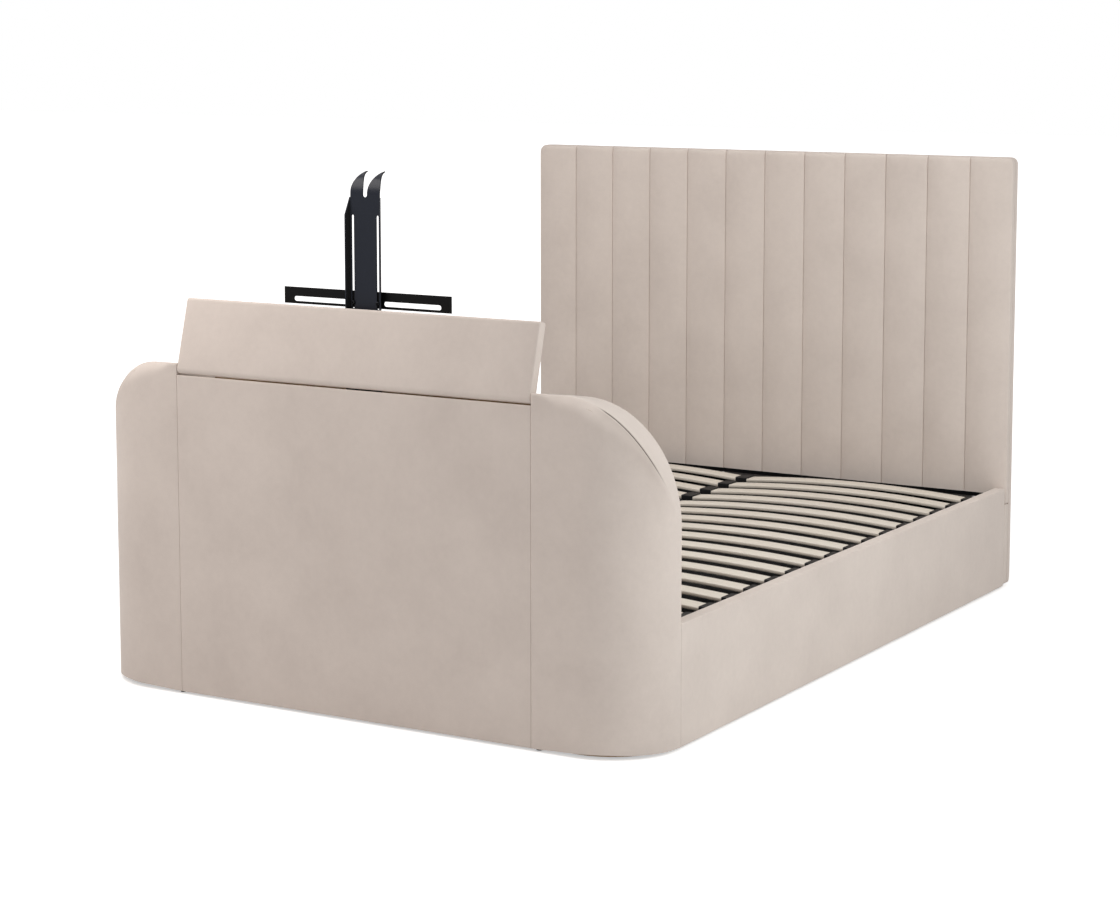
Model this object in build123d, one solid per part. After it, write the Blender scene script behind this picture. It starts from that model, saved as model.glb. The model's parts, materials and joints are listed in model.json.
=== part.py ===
from build123d import *
from math import cos, radians, sin, sqrt, tan
import os

# An upholstered bed whose footboard hides a raising television mount.
# Millimetres. +X is to the right seen from the foot, +Y runs from foot to head, +Z is up.
# The origin is on the floor under the middle of the bed. The lid is open and the mount is raised.

# Whole bed
bed_width = 1600
clear_length = 2020  # between footboard and headboard
glide_height = 6
glide_radius = 8
panel_gap = 1.5  # rail ends to footboard and headboard
fit_gap = 0.3
slide_gap = 0.5
cut_over = 20  # overrun of cuts past the faces that they open

# Boards and padding
board = 18
pad = 12
lining = 2
back_pad = 10

# Footboard
footboard_depth = 180
footboard_height = 829  # front top edge of the wings above the floor
footboard_slope = 8.5  # degrees, top falls towards the head
shoulder_radii = (225, 260)  # top corners seen from the front, at the front edge and at the back
centre_share = 0.635  # of the bed's width, between the two seams
seam_round = 3
wing_ply = 6

# Lid
lid_thickness = 27
lid_skin = 6
lid_overhang = 6  # past the back of the footboard when closed
lid_under_gap = 1.5
lid_end_gap = 1.5
lid_edge_round = 6
lid_open_angle = 75  # degrees above level, leaning on the raised mast
lid_pin_radius = 3
lid_pin_grip = 26  # length held in the lid
lid_pin_reach = 12  # length in the bush
pin_clearance = 0.2
bush_wall = 2.8
bush_length = 16
bush_flange_radius = 8
bush_flange = 1

# Television mast, folded from one steel sheet
mast_sheet = 2.5
mast_web_width = 84
mast_flange_depth = 12
mast_flange_splay = 28  # degrees
mast_length = 610  # foot to shoulders
mast_tail = 17  # below the carriage
mast_slot_width = 6.5
mast_slot_spacing = 71
mast_slot_top = 42  # below the shoulders
mast_slot_foot = 14  # below the bolts of the crossbar
horn_bend_radius = 52
horn_bend_angle = 83  # degrees
horn_straight = 6
horn_notch_radius = 6
horn_outline_shares = [(0.92, 0.55), (0.6, 1.0), (0.25, 0.55)]

# Crossbar that carries the television
bar_width = 480
bar_height = 40
bar_sheet = 3
bar_slot_height = 12
bar_slot_start = 50  # from the middle
bar_slot_margin = 28
bar_bolt_rise = 12  # slots and bolts above the lower edge
bar_above_foot = 359  # bolts above the foot of the mast

# Bolts
bolt_radius = 3
bolt_head_radius = 5.5
bolt_head_height = 4
nut_width = 10
nut_height = 5

# Lift column in the footboard
guide_standoff = 4  # from the front board
guide_width = 60
guide_depth = 36
guide_wall = 3
guide_mouth = 28
guide_top_drop = 30  # below the rim of the housing
base_plate = 3
base_plate_width = 140
gearbox_height = 28
motor_radius = 17
motor_length = 110
motor_lift = 3
spindle_radius = 7
spindle_top_gap = 6
cap_plate = 3
cap_tab = 40
carriage_height = 100
carriage_low_gap = 2
carriage_head_gap = 8
carriage_neck = 22
carriage_core_depth = 20
carriage_core_width = 30
carriage_plate_width = 56
glide_block_height = 22
glide_block_inset = 6
nut_block_height = 30
nut_block_width = 24
mast_bolt_spacing = 36
mast_bolt_inset = 24

# Control box and power inlet
control_box_size = (120, 40, 60)
control_box_x = 290
inlet_x = 330
inlet_z = 70
inlet_flange_size = (50, 28)
inlet_flange = 3
inlet_body_size = (30, 20)
inlet_socket_size = (22, 12)
inlet_socket_depth = 16
inlet_tail = 4

# Side rails
rail_height = 297
rail_board = 20
rail_top_pad = 6
rail_round = 7

# Steel frame of the slat base
tube_width = 40
tube_height = 25
end_tube_height = 40
tube_wall = 2
frame_side_gap = 10
frame_end_gap = 23
ledger = 3
ledger_leg = 30
end_ledger_leg = 50
ledger_reach = 60
ledger_inset = 60
frame_top = 257  # of the side tubes and the middle beam
frame_bolt_shares = (0.15, 1)  # of the way from the middle to the side tubes
frame_bolt_head_height = 3
leg_count = 3
leg_radius = 16
leg_wall = 2
leg_plate_length = 80
leg_foot_radius = 22
leg_foot_height = 26
leg_foot_wall = 3
leg_foot_floor = 10

# Sprung slats
slat_count = 16
slat_width = 53
slat_thickness = 10
slat_rise = 16
first_slat = 107  # from the headboard
last_slat = 158  # from the footboard
slat_gap = 12  # between the two banks, inside the middle holders
holder_floor = 8
holder_roof = 4
holder_side = 4
holder_grip = 13
holder_tail = 26
holder_round = 5

# Corner brackets
bracket_sheet = 3
bracket_leg = 45
bracket_height = 120
bracket_foot = 70
bracket_bolt_inset = 28
bracket_bolt_offset = 25

# Headboard
headboard_height = 1267
headboard_corner_radius = 20
headboard_foot_radius = 14
headboard_pad = 28
headboard_edge = 3
headboard_glide_shares = (0.325, 0.875)  # of the half width
channel_count = 12
channel_bottom = 250
channel_crown = 10
channel_shoulder = 10
channel_shoulder_rise_share = 0.72
channel_top_round = 15

# Places that follow from the sizes
headboard_depth = headboard_pad + board + lining
bed_length = footboard_depth + clear_length + headboard_depth
half_width = bed_width / 2
centre_half = bed_width * centre_share / 2
front_y = -bed_length / 2
foot_back_y = front_y + footboard_depth
head_front_y = foot_back_y + clear_length
head_back_y = head_front_y + headboard_depth
board_front_y = front_y + pad
board_back_y = board_front_y + board
back_board_y = foot_back_y - back_pad - board
slope = tan(radians(footboard_slope))

# The lid turns about the middle of its rounded front edge
pivot_y = front_y + lid_thickness / 2
pivot_z = footboard_height - lid_thickness / 2
lid_reach = (footboard_depth + lid_overhang - lid_thickness / 2) / cos(radians(footboard_slope))
lid_half = centre_half - lid_end_gap
rim_drop = lid_thickness + lid_under_gap
lid_rise = sin(radians(lid_open_angle))
lid_run = cos(radians(lid_open_angle))
lid_back_y = pivot_y + lid_reach * lid_run + lid_thickness / 2 * lid_rise

mast_front_y = lid_back_y + fit_gap
web_front_y = mast_front_y + mast_flange_depth
web_back_y = web_front_y + mast_sheet

guide_y = board_back_y + guide_standoff
guide_back_y = guide_y + guide_depth
guide_axis_y = guide_y + guide_depth / 2
floor_top = glide_height + board
guide_foot = floor_top + base_plate + gearbox_height
guide_top = footboard_height - rim_drop - slope * (guide_back_y - front_y) - guide_top_drop + cap_plate
carriage_low = guide_foot + carriage_low_gap
carriage_z = guide_top - carriage_head_gap - carriage_height
lift_stroke = carriage_z - carriage_low
mast_foot = carriage_z - mast_tail
mast_shoulder = mast_foot + mast_length
bar_bolt_z = mast_foot + bar_above_foot
bar_z = bar_bolt_z - bar_bolt_rise

rail_inner_x = half_width - pad - rail_board
tube_foot = frame_top - tube_height
end_tube_top = tube_foot + end_tube_height
frame_half = rail_inner_x - frame_side_gap
tube_inner_x = frame_half - tube_width
slat_pitch = (clear_length - first_slat - last_slat) / (slat_count - 1)
slat_foot = frame_top + holder_floor
slat_outer_x = tube_inner_x + holder_grip - holder_side
slat_places = [head_front_y - first_slat - i * slat_pitch for i in range(slat_count)]
channel_width = bed_width / channel_count


def block(x, y, z):
    """Box between two places along each axis."""
    size = [high - low for low, high in (x, y, z)]
    middle = [(high + low) / 2 for low, high in (x, y, z)]
    return Pos(*middle) * Box(*size)


def rod(start, end, radius):
    """Round bar between two points."""
    axis = Vector(*end) - Vector(*start)
    return extrude(Plane(origin=start, z_dir=axis) * Circle(radius), amount=axis.length)


def mirrored(shape):
    """The same piece on the other side of the bed."""
    return mirror(shape, about=Plane.YZ)


def group(shapes):
    """Separate solids of one node."""
    return Compound(children=[solid for shape in shapes for solid in shape.solids()])


def side_profile(points, width):
    """Prism across the bed from an outline of (y, z) points."""
    face = Plane.YZ * make_face(Polyline(*points, close=True))
    return extrude(face, amount=width / 2, both=True)


def bolt(place, axis, length, head_radius=bolt_head_radius, head_height=bolt_head_height):
    """Bolt with its head's seat at a place and its shank along an axis."""
    seat = Vector(*place)
    along = Vector(*axis)
    head_top = seat - along * head_height
    tip = seat + along * length
    return rod(tuple(seat), tuple(tip), bolt_radius) + rod(tuple(head_top), tuple(seat), head_radius)


def hex_nut(place, axis):
    """Hexagonal nut from a place along an axis, with its bore."""
    plane = Plane(origin=place, z_dir=axis)
    face = RegularPolygon(nut_width / 2, side_count=6, major_radius=False) - Circle(bolt_radius)
    return extrude(plane * face, amount=nut_height)


def footboard_form(inner_x, inset, inner_round):
    """Space inside one wing's outside, drawn in by an inset, open to the back."""
    outer_x = half_width - inset
    width = outer_x - inner_x
    depth = footboard_depth - inset + cut_over
    plan = Pos((outer_x + inner_x) / 2, front_y + inset + depth / 2) * Rectangle(width, depth)
    front = plan.vertices().group_by(Axis.Y)[0].sort_by(Axis.X)
    plan = fillet(front[-1:], footboard_depth - inset)
    if inner_round:
        front = plan.vertices().group_by(Axis.Y)[0].sort_by(Axis.X)
        plan = fillet(front[:1], inner_round)
    walls = extrude(plan, amount=footboard_height)

    height = footboard_height - inset + cut_over
    front_radius, back_radius = shoulder_radii
    growth = (back_radius - front_radius) / footboard_depth
    ends = []
    for reach in (0, footboard_depth + cut_over):
        face = Pos(0, height / 2 - cut_over) * Rectangle(2 * outer_x, height)
        face = fillet(face.vertices().group_by(Axis.Y)[-1], front_radius + growth * reach - inset)
        place = Plane(origin=(0, front_y + reach, -slope * reach), x_dir=(1, 0, 0), z_dir=(0, -1, 0))
        ends.append(place * face)
    return walls & loft(ends, ruled=True)


def above_glides(shape, back_y):
    """Part of a shape above the glides and before a plane."""
    space = block((-bed_width, bed_width), (front_y - cut_over, back_y),
                  (glide_height, footboard_height + cut_over))
    return shape & space


def under_lid(x_half, y_range):
    """Slab of the middle section, cut along the sloping rim under the lid."""
    low_y, high_y = y_range
    rim = footboard_height - rim_drop
    outline = [(low_y, glide_height), (high_y, glide_height),
               (high_y, rim - slope * (high_y - front_y)), (low_y, rim - slope * (low_y - front_y))]
    return side_profile(outline, 2 * x_half)


def lid_pivots(radius, start_x, end_x):
    """Round bars on the lid's axis, one at each end."""
    right = rod((start_x, pivot_y, pivot_z), (end_x, pivot_y, pivot_z), radius)
    return [mirrored(right), right]


def build_footboard():
    """Housing of the lift: centre panel, two rounded wings, back and floor."""
    cheek_x = centre_half + lining
    shell_x = cheek_x + board
    outside = footboard_form(centre_half, 0, seam_round)
    cheek_space = footboard_form(cheek_x, lining, 0)
    cheek_space &= block((cheek_x, shell_x), (front_y, foot_back_y + cut_over), (0, footboard_height))
    pad_space = footboard_form(shell_x, pad, 0)
    ply_space = footboard_form(shell_x, pad + wing_ply, 0)

    centre_rim = under_lid(centre_half, (back_board_y, foot_back_y))
    wing_back = pad_space + block((cheek_x, shell_x), (back_board_y, foot_back_y), (glide_height, guide_top))
    wing_back += cheek_space
    backs = []
    for low_y, high_y in ((back_board_y, foot_back_y - back_pad), (foot_back_y - back_pad, foot_back_y)):
        slab = block((-bed_width, bed_width), (low_y, high_y), (glide_height, footboard_height))
        wing = wing_back & slab
        backs.append(under_lid(cheek_x, (low_y, high_y)) + wing + mirrored(wing))
    back_board, back_cover = backs

    bush_hole = lid_pivots(lid_pin_radius + pin_clearance + bush_wall, centre_half, centre_half + bush_length)[1]
    cover = above_glides(outside - cheek_space - pad_space, foot_back_y) - bush_hole - back_board - back_cover
    cheek = above_glides(cheek_space, back_board_y) - bush_hole
    shell = above_glides(pad_space - ply_space, back_board_y)

    centre_pad = under_lid(centre_half, (front_y, board_front_y))
    front_edges = centre_pad.edges().filter_by(Axis.Z).group_by(Axis.Y)[0]
    centre_pad = fillet(front_edges, seam_round)
    pieces = {
        "footboard_front_pad": centre_pad,
        "footboard_front_board": under_lid(centre_half, (board_front_y, board_back_y)),
        "footboard_back_board": back_board,
        "footboard_back_cover": back_cover,
        "footboard_floor": block((-centre_half, centre_half), (board_back_y, back_board_y),
                                 (glide_height, floor_top)),
    }
    for side, place in (("left", mirrored), ("right", lambda shape: shape)):
        pieces[f"wing_cover_{side}"] = place(cover)
        pieces[f"wing_cheek_{side}"] = place(cheek)
        pieces[f"wing_shell_{side}"] = place(shell)

    glide_x = (cheek_x + shell_x) / 2
    glide_rows = (front_y + lining + seam_round + 2 * glide_radius, back_board_y - glide_radius)
    glides = [rod((glide_x, y, 0), (glide_x, y, glide_height), glide_radius) for y in glide_rows]
    end_y = foot_back_y - back_pad - board / 2
    end_x = half_width - pad - 2 * glide_radius
    glides.append(rod((end_x, end_y, 0), (end_x, end_y, glide_height), glide_radius))
    pieces["footboard_glides"] = group(glides + [mirrored(glide) for glide in glides])
    return pieces


def opened(shape):
    """Turn a lid piece from the pivot's own axes to its open place."""
    return Pos(0, pivot_y, pivot_z) * Rot(lid_open_angle, 0, 0) * shape


def build_lid():
    """Padded lid with its board, and the pins and bushes that it turns on."""
    half = lid_thickness / 2
    section = Pos(lid_reach / 2, 0) * Rectangle(lid_reach, lid_thickness) + Circle(half)
    far = section.vertices().group_by(Axis.X)[-1]
    section = fillet(far, lid_edge_round)
    envelope = extrude(Plane.YZ * section, amount=lid_half, both=True)

    core_reach = lid_reach - lid_skin
    core_height = lid_thickness - lid_skin
    core = Pos(core_reach / 2, -lid_skin / 2) * Rectangle(core_reach, core_height) + Circle(half - lid_skin)
    lid_board = extrude(Plane.YZ * core, amount=lid_half - lid_skin, both=True)

    pins = lid_pivots(lid_pin_radius, lid_half - lid_pin_grip, centre_half + lid_pin_reach)
    bush_radius = lid_pin_radius + pin_clearance + bush_wall
    shells = lid_pivots(bush_radius, centre_half, centre_half + bush_length)
    flanges = lid_pivots(bush_flange_radius, centre_half - bush_flange, centre_half)
    bores = lid_pivots(lid_pin_radius + pin_clearance, centre_half - cut_over, centre_half + cut_over)
    bushes = [shell + flange - bore for shell, flange, bore in zip(shells, flanges, bores)]
    return {
        "lid_cover": opened(envelope - lid_board) - pins[0] - pins[1],
        "lid_board": opened(lid_board) - pins[0] - pins[1],
        "lid_pivot_pins": group(pins),
        "lid_pivot_bushes": group(bushes),
    }


def horn_outline():
    """Front view of the mast above its shoulders: two pointed horns with a notch between."""
    half = mast_web_width / 2
    base = mast_shoulder + horn_straight
    rise = (horn_bend_radius + mast_sheet) * sin(radians(horn_bend_angle))
    (outer_x, outer_z), (tip_x, tip_z), (inner_x, inner_z) = horn_outline_shares
    outer = (half * outer_x, base + rise * outer_z)
    tip = (half * tip_x, base + rise * tip_z)
    inner = (half * inner_x, base + rise * inner_z)
    notch = (horn_notch_radius, base)
    lines = [
        Polyline((0, mast_shoulder - cut_over), (half, mast_shoulder - cut_over), (half, base)),
        ThreePointArc((half, base), outer, tip),
        ThreePointArc(tip, inner, notch),
        ThreePointArc(notch, (horn_notch_radius * sqrt(0.5), base - horn_notch_radius * sqrt(0.5)),
                      (0, base - horn_notch_radius)),
        Line((0, base - horn_notch_radius), (0, mast_shoulder - cut_over)),
    ]
    right = make_face([edge for line in lines for edge in line.edges()])
    plane = Plane(origin=(0, front_y, 0), x_dir=(1, 0, 0), z_dir=(0, -1, 0))
    prism = extrude(plane * right, amount=-bed_width)
    return prism + mirrored(prism)


def horn_sheet():
    """Side view of the same sheet: upright, then bent back over the housing."""
    base = mast_shoulder + horn_straight
    centre = Vector(web_back_y + horn_bend_radius, base)

    def on_arc(radius, angle):
        turn = radians(angle)
        return centre + Vector(-radius * cos(turn), radius * sin(turn))

    outer = horn_bend_radius + mast_sheet
    low = mast_shoulder - cut_over
    lines = [
        Line((web_front_y, low), (web_front_y, base)),
        ThreePointArc((web_front_y, base), on_arc(outer, horn_bend_angle / 2), on_arc(outer, horn_bend_angle)),
        Line(on_arc(outer, horn_bend_angle), on_arc(horn_bend_radius, horn_bend_angle)),
        ThreePointArc(on_arc(horn_bend_radius, horn_bend_angle), on_arc(horn_bend_radius, horn_bend_angle / 2),
                      (web_back_y, base)),
        Polyline((web_back_y, base), (web_back_y, low), (web_front_y, low)),
    ]
    face = make_face([edge for line in lines for edge in line.edges()])
    return extrude(Plane.YZ * face, amount=mast_web_width / 2, both=True)


def build_mast():
    """Folded steel mast with splayed flanges, two long slots and the horns that lift the lid."""
    half = mast_web_width / 2
    lean = tan(radians(mast_flange_splay))
    thick = mast_sheet / cos(radians(mast_flange_splay))
    toe = half + mast_flange_depth * lean
    heel = half + thick - mast_sheet * lean
    right = [(0, web_back_y), (heel, web_back_y), (toe + thick, mast_front_y), (toe, mast_front_y),
             (half, web_front_y), (0, web_front_y)]
    face = make_face(Polyline(*right, close=True))
    body = extrude(Pos(0, 0, mast_foot) * face, amount=mast_length)
    body += mirrored(body)
    flange_top = mast_shoulder - mast_slot_top
    corner = [(mast_front_y, flange_top), (web_front_y, mast_shoulder), (web_front_y, mast_shoulder + cut_over),
              (mast_front_y - cut_over, mast_shoulder + cut_over), (mast_front_y - cut_over, flange_top)]
    body -= side_profile(corner, bed_width)
    body += horn_sheet() & horn_outline()

    slot_foot = bar_bolt_z - mast_slot_foot
    slot_height = flange_top - slot_foot
    slot = Rot(0, 0, 90) * SlotOverall(slot_height, mast_slot_width)
    plane = Plane(origin=(0, web_back_y + cut_over, 0), x_dir=(1, 0, 0), z_dir=(0, -1, 0))
    for x in (-mast_slot_spacing / 2, mast_slot_spacing / 2):
        placed = plane * (Pos(x, slot_foot + slot_height / 2) * slot)
        body -= extrude(placed, amount=cut_over + mast_sheet + bolt_head_height)

    bolts = []
    for x in (-mast_bolt_spacing / 2, mast_bolt_spacing / 2):
        for z in (carriage_z + mast_bolt_inset, carriage_z + carriage_height - mast_bolt_inset):
            length = mast_sheet + (web_front_y - guide_back_y - slide_gap) - slide_gap
            bolts.append(bolt((x, web_back_y, z), (0, -1, 0), length))
    for one in bolts:
        body -= one
    return {"tv_mast": body, "mast_bolts": group(bolts)}


def build_crossbar():
    """Slotted bar behind the mast, clamped through the mast's slots."""
    half = bar_width / 2
    plate = block((-half, half), (web_back_y, web_back_y + bar_sheet), (bar_z, bar_z + bar_height))
    slot_length = half - bar_slot_margin - bar_slot_start
    slot_x = bar_slot_start + slot_length / 2
    plane = Plane(origin=(0, web_back_y - cut_over, 0), x_dir=(-1, 0, 0), z_dir=(0, 1, 0))
    for x in (-slot_x, slot_x):
        slot = plane * (Pos(x, bar_bolt_z) * SlotOverall(slot_length, bar_slot_height))
        plate -= extrude(slot, amount=2 * cut_over + bar_sheet)
    bolts = []
    nuts = []
    for x in (-mast_slot_spacing / 2, mast_slot_spacing / 2):
        length = mast_sheet + bar_sheet + nut_height
        bolts.append(bolt((x, web_front_y, bar_bolt_z), (0, 1, 0), length))
        nuts.append(hex_nut((x, web_back_y + bar_sheet, bar_bolt_z), (0, 1, 0)))
    for one in bolts:
        plate -= one
    return {"tv_crossbar": plate, "crossbar_bolts": group(bolts), "crossbar_nuts": group(nuts)}


def build_lift():
    """Column, screw drive and carriage that raise the mast."""
    half = guide_width / 2
    mouth = guide_mouth / 2
    inner_y = (guide_y + guide_wall, guide_back_y - guide_wall)
    guide = block((-half, half), (guide_y, guide_back_y), (guide_foot, guide_top))
    guide -= block((guide_wall - half, half - guide_wall), inner_y, (guide_foot - cut_over, guide_top + cut_over))
    guide -= block((-mouth, mouth), (inner_y[1] - guide_wall, guide_back_y + cut_over),
                   (guide_foot - cut_over, guide_top + cut_over))

    plate_z = floor_top + base_plate
    spindle_top = guide_top + cap_plate - spindle_top_gap / 2
    spindle = rod((0, guide_axis_y, plate_z + gearbox_height / 2), (0, guide_axis_y, spindle_top), spindle_radius)
    bore = rod((0, guide_axis_y, floor_top), (0, guide_axis_y, guide_top + cut_over), spindle_radius + fit_gap)
    gearbox = block((-half, half), (guide_y, guide_back_y), (plate_z, plate_z + gearbox_height))
    pocket = rod((0, guide_axis_y, plate_z + gearbox_height / 2 - fit_gap),
                 (0, guide_axis_y, guide_top), spindle_radius + fit_gap)
    motor_y = guide_y + motor_radius
    motor_z = plate_z + motor_radius + motor_lift
    motor = rod((half, motor_y, motor_z), (half + motor_length, motor_y, motor_z), motor_radius)
    motor_foot = block((half, half + motor_length / 2), (motor_y - motor_radius / 2, motor_y + motor_radius / 2),
                       (plate_z, motor_z))
    base = block((-base_plate_width / 2, half + motor_length), (board_back_y, guide_back_y), (floor_top, plate_z))
    cap = block((-half, half), (board_back_y, guide_back_y), (guide_top, guide_top + cap_plate))
    cap += block((-half, half), (board_back_y, board_back_y + cap_plate), (guide_top - cap_tab, guide_top))

    neck = carriage_neck / 2
    core = carriage_core_width / 2
    core_y = (guide_axis_y - carriage_core_depth / 2, guide_axis_y + carriage_core_depth / 2)
    tall = (carriage_z, carriage_z + carriage_height)
    plate_half = carriage_plate_width / 2
    carriage = block((-core, core), core_y, tall)
    carriage += block((-neck, neck), (guide_axis_y, guide_back_y + slide_gap), tall)
    carriage += block((-plate_half, plate_half), (guide_back_y + slide_gap, web_front_y), tall)
    nut_z = (carriage_z + carriage_height / 2 - nut_block_height / 2,
             carriage_z + carriage_height / 2 + nut_block_height / 2)
    nut_half = nut_block_width / 2
    nut_space = block((-nut_half, nut_half), core_y, nut_z)
    carriage -= bore
    carriage -= nut_space
    nut = nut_space - bore
    for one in build_mast()["mast_bolts"].solids():
        carriage -= one

    glide_x = (core, half - guide_wall - fit_gap)
    glide_y = (inner_y[0] + fit_gap, inner_y[1] - fit_gap)
    blocks = []
    for low_z in (carriage_z + glide_block_inset,
                  carriage_z + carriage_height - glide_block_inset - glide_block_height):
        right = block(glide_x, glide_y, (low_z, low_z + glide_block_height))
        blocks += [right, mirrored(right)]
    return {
        "lift_guide": guide,
        "lift_base_plate": base,
        "lift_top_bracket": cap - bore,
        "lift_gearbox": gearbox - pocket,
        "lift_motor": motor + motor_foot,
        "lift_spindle": spindle,
        "lift_nut": nut,
        "lift_carriage": carriage,
        "carriage_glides": group(blocks),
    }


def build_power():
    """Control box in the housing and the socket for its mains lead."""
    length, depth, height = control_box_size
    low_x = -control_box_x - length / 2
    box = block((low_x, low_x + length), (board_back_y, board_back_y + depth), (floor_top, floor_top + height))
    box = fillet(box.edges().filter_by(Axis.Z), seam_round)

    def upright(size, y_range):
        x_half, z_half = size[0] / 2, size[1] / 2
        return block((-inlet_x - x_half, -inlet_x + x_half), y_range, (inlet_z - z_half, inlet_z + z_half))

    inlet = upright(inlet_body_size, (back_board_y - inlet_tail, foot_back_y))
    hole = inlet
    inlet += upright(inlet_flange_size, (foot_back_y, foot_back_y + inlet_flange))
    mouth = foot_back_y + inlet_flange
    inlet -= upright(inlet_socket_size, (mouth - inlet_socket_depth, mouth + cut_over))
    return {"lift_control_box": box, "power_inlet": inlet}, hole


def build_rails():
    """Padded side rails with their ledgers."""
    rail_y = (foot_back_y + panel_gap, head_front_y - panel_gap)
    outer = block((rail_inner_x, half_width), rail_y, (glide_height, rail_height))
    outer = fillet(outer.edges().filter_by(Axis.Y).group_by(Axis.Z)[-1], rail_round)
    plank = block((rail_inner_x, rail_inner_x + rail_board), rail_y, (glide_height, rail_height - rail_top_pad))
    ledge_y = (rail_y[0] + ledger_inset, rail_y[1] - ledger_inset)
    ledge = block((rail_inner_x - ledger_leg, rail_inner_x), ledge_y, (tube_foot - ledger, tube_foot))
    ledge += block((rail_inner_x - ledger, rail_inner_x), ledge_y, (tube_foot - ledger_leg, tube_foot))
    pieces = {}
    for side, place in (("left", mirrored), ("right", lambda shape: shape)):
        pieces[f"rail_cover_{side}"] = place(outer - plank)
        pieces[f"rail_board_{side}"] = place(plank)
        pieces[f"rail_ledger_{side}"] = place(ledge)
    return pieces


def rail_tube(x, y, z, along):
    """Square steel tube, open at both ends."""
    outer = block(x, y, z)
    if along == "x":
        inner = ((x[0] - cut_over, x[1] + cut_over), (y[0] + tube_wall, y[1] - tube_wall))
    else:
        inner = ((x[0] + tube_wall, x[1] - tube_wall), (y[0] - cut_over, y[1] + cut_over))
    return outer - block(*inner, (z[0] + tube_wall, z[1] - tube_wall))


def build_frame():
    """Steel frame under the slats, its end ledgers, middle legs and bolts."""
    half = frame_half
    tall = (tube_foot, frame_top)
    end_tall = (tube_foot, end_tube_top)
    foot_y = (foot_back_y + frame_end_gap, foot_back_y + frame_end_gap + tube_width)
    head_y = (head_front_y - frame_end_gap - tube_width, head_front_y - frame_end_gap)
    between = (foot_y[1], head_y[0])
    ends = {"foot": foot_y, "head": head_y}
    walls = {"foot": (foot_back_y, 1), "head": (head_front_y, -1)}

    bolts = []
    nuts = []
    ledges = []
    for end, y_range in ends.items():
        middle = (y_range[0] + y_range[1]) / 2
        wall, inward = walls[end]
        reach = sorted((wall, wall + inward * ledger_reach))
        foot = sorted((wall, wall + inward * ledger))
        span = (-tube_inner_x - tube_width / 2, tube_inner_x + tube_width / 2)
        ledge = block(span, reach, (tube_foot - ledger, tube_foot))
        ledge += block(span, foot, (tube_foot - ledger, tube_foot - ledger + end_ledger_leg))
        for share in frame_bolt_shares:
            for x in (-tube_inner_x * share, tube_inner_x * share):
                length = end_tube_height + ledger + nut_height
                bolts.append(bolt((x, middle, end_tube_top), (0, 0, -1), length, bolt_head_radius,
                                  frame_bolt_head_height))
                nuts.append(hex_nut((x, middle, tube_foot - ledger), (0, 0, -1)))
        ledges.append(ledge)
    shanks = group(bolts)
    tubes = {end: rail_tube((-half, half), y_range, end_tall, "x") - shanks for end, y_range in ends.items()}
    side = rail_tube((tube_inner_x, half), between, tall, "y")
    beam = rail_tube((-tube_width / 2, tube_width / 2), between, tall, "y")

    legs = []
    feet = []
    for i in range(leg_count):
        y = between[0] + (between[1] - between[0]) * (i + 1) / (leg_count + 1)
        top = block((-tube_width / 2, tube_width / 2), (y - leg_plate_length / 2, y + leg_plate_length / 2),
                    (tube_foot - ledger, tube_foot))
        post = rod((0, y, leg_foot_floor), (0, y, tube_foot - ledger), leg_radius)
        post -= rod((0, y, leg_foot_floor), (0, y, tube_foot - ledger), leg_radius - leg_wall)
        legs.append(top + post)
        foot = rod((0, y, 0), (0, y, leg_foot_height), leg_foot_radius)
        foot = fillet(foot.edges().group_by(Axis.Z)[0], leg_foot_wall)
        feet.append(foot - rod((0, y, leg_foot_floor), (0, y, leg_foot_height + cut_over), leg_radius))
    return {
        "frame_tube_left": mirrored(side),
        "frame_tube_right": side,
        "frame_tube_head": tubes["head"],
        "frame_tube_foot": tubes["foot"],
        "frame_centre_beam": beam,
        "end_ledgers": group([ledge - shanks for ledge in ledges]),
        "frame_bolts": shanks,
        "frame_nuts": group(nuts),
        "centre_legs": group(legs),
        "centre_leg_feet": group(feet),
    }


def slat_form():
    """One right-hand slat at the middle of the bed's length, bowed upwards."""
    low_x, high_x = slat_gap / 2, slat_outer_x
    middle = (low_x + high_x) / 2
    top = slat_foot + slat_thickness
    lines = [
        ThreePointArc((low_x, slat_foot), (middle, slat_foot + slat_rise), (high_x, slat_foot)),
        Line((high_x, slat_foot), (high_x, top)),
        ThreePointArc((high_x, top), (middle, top + slat_rise), (low_x, top)),
        Line((low_x, top), (low_x, slat_foot)),
    ]
    face = make_face([edge for line in lines for edge in line.edges()])
    plane = Plane(origin=(0, 0, 0), x_dir=(1, 0, 0), z_dir=(0, -1, 0))
    return extrude(plane * face, amount=slat_width / 2, both=True)


def build_slats():
    """Two banks of bowed slats in plastic holders."""
    slat = slat_form()
    slats = slat + mirrored(slat)
    y_half = slat_width / 2 + holder_side
    tall = (frame_top, slat_foot + slat_thickness + holder_roof)
    side_x = (slat_outer_x - holder_grip, slat_outer_x + holder_tail)
    grip = slat_gap / 2 + holder_grip

    def holder(x_range):
        shell = block(x_range, (-y_half, y_half), tall)
        shell = fillet(shell.edges().filter_by(Axis.Z), holder_round)
        rim = shell.edges().group_by(Axis.Z)[-1]
        return chamfer(rim, holder_roof / 2) - slats

    side = holder(side_x)
    shapes = {
        "slats_left": mirrored(slat),
        "slats_right": slat,
        "slat_holders_left": mirrored(side),
        "slat_holders_right": side,
        "slat_holders_centre": holder((-grip, grip)),
    }
    return {name: group([Pos(0, y, 0) * shape for y in slat_places]) for name, shape in shapes.items()}


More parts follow.
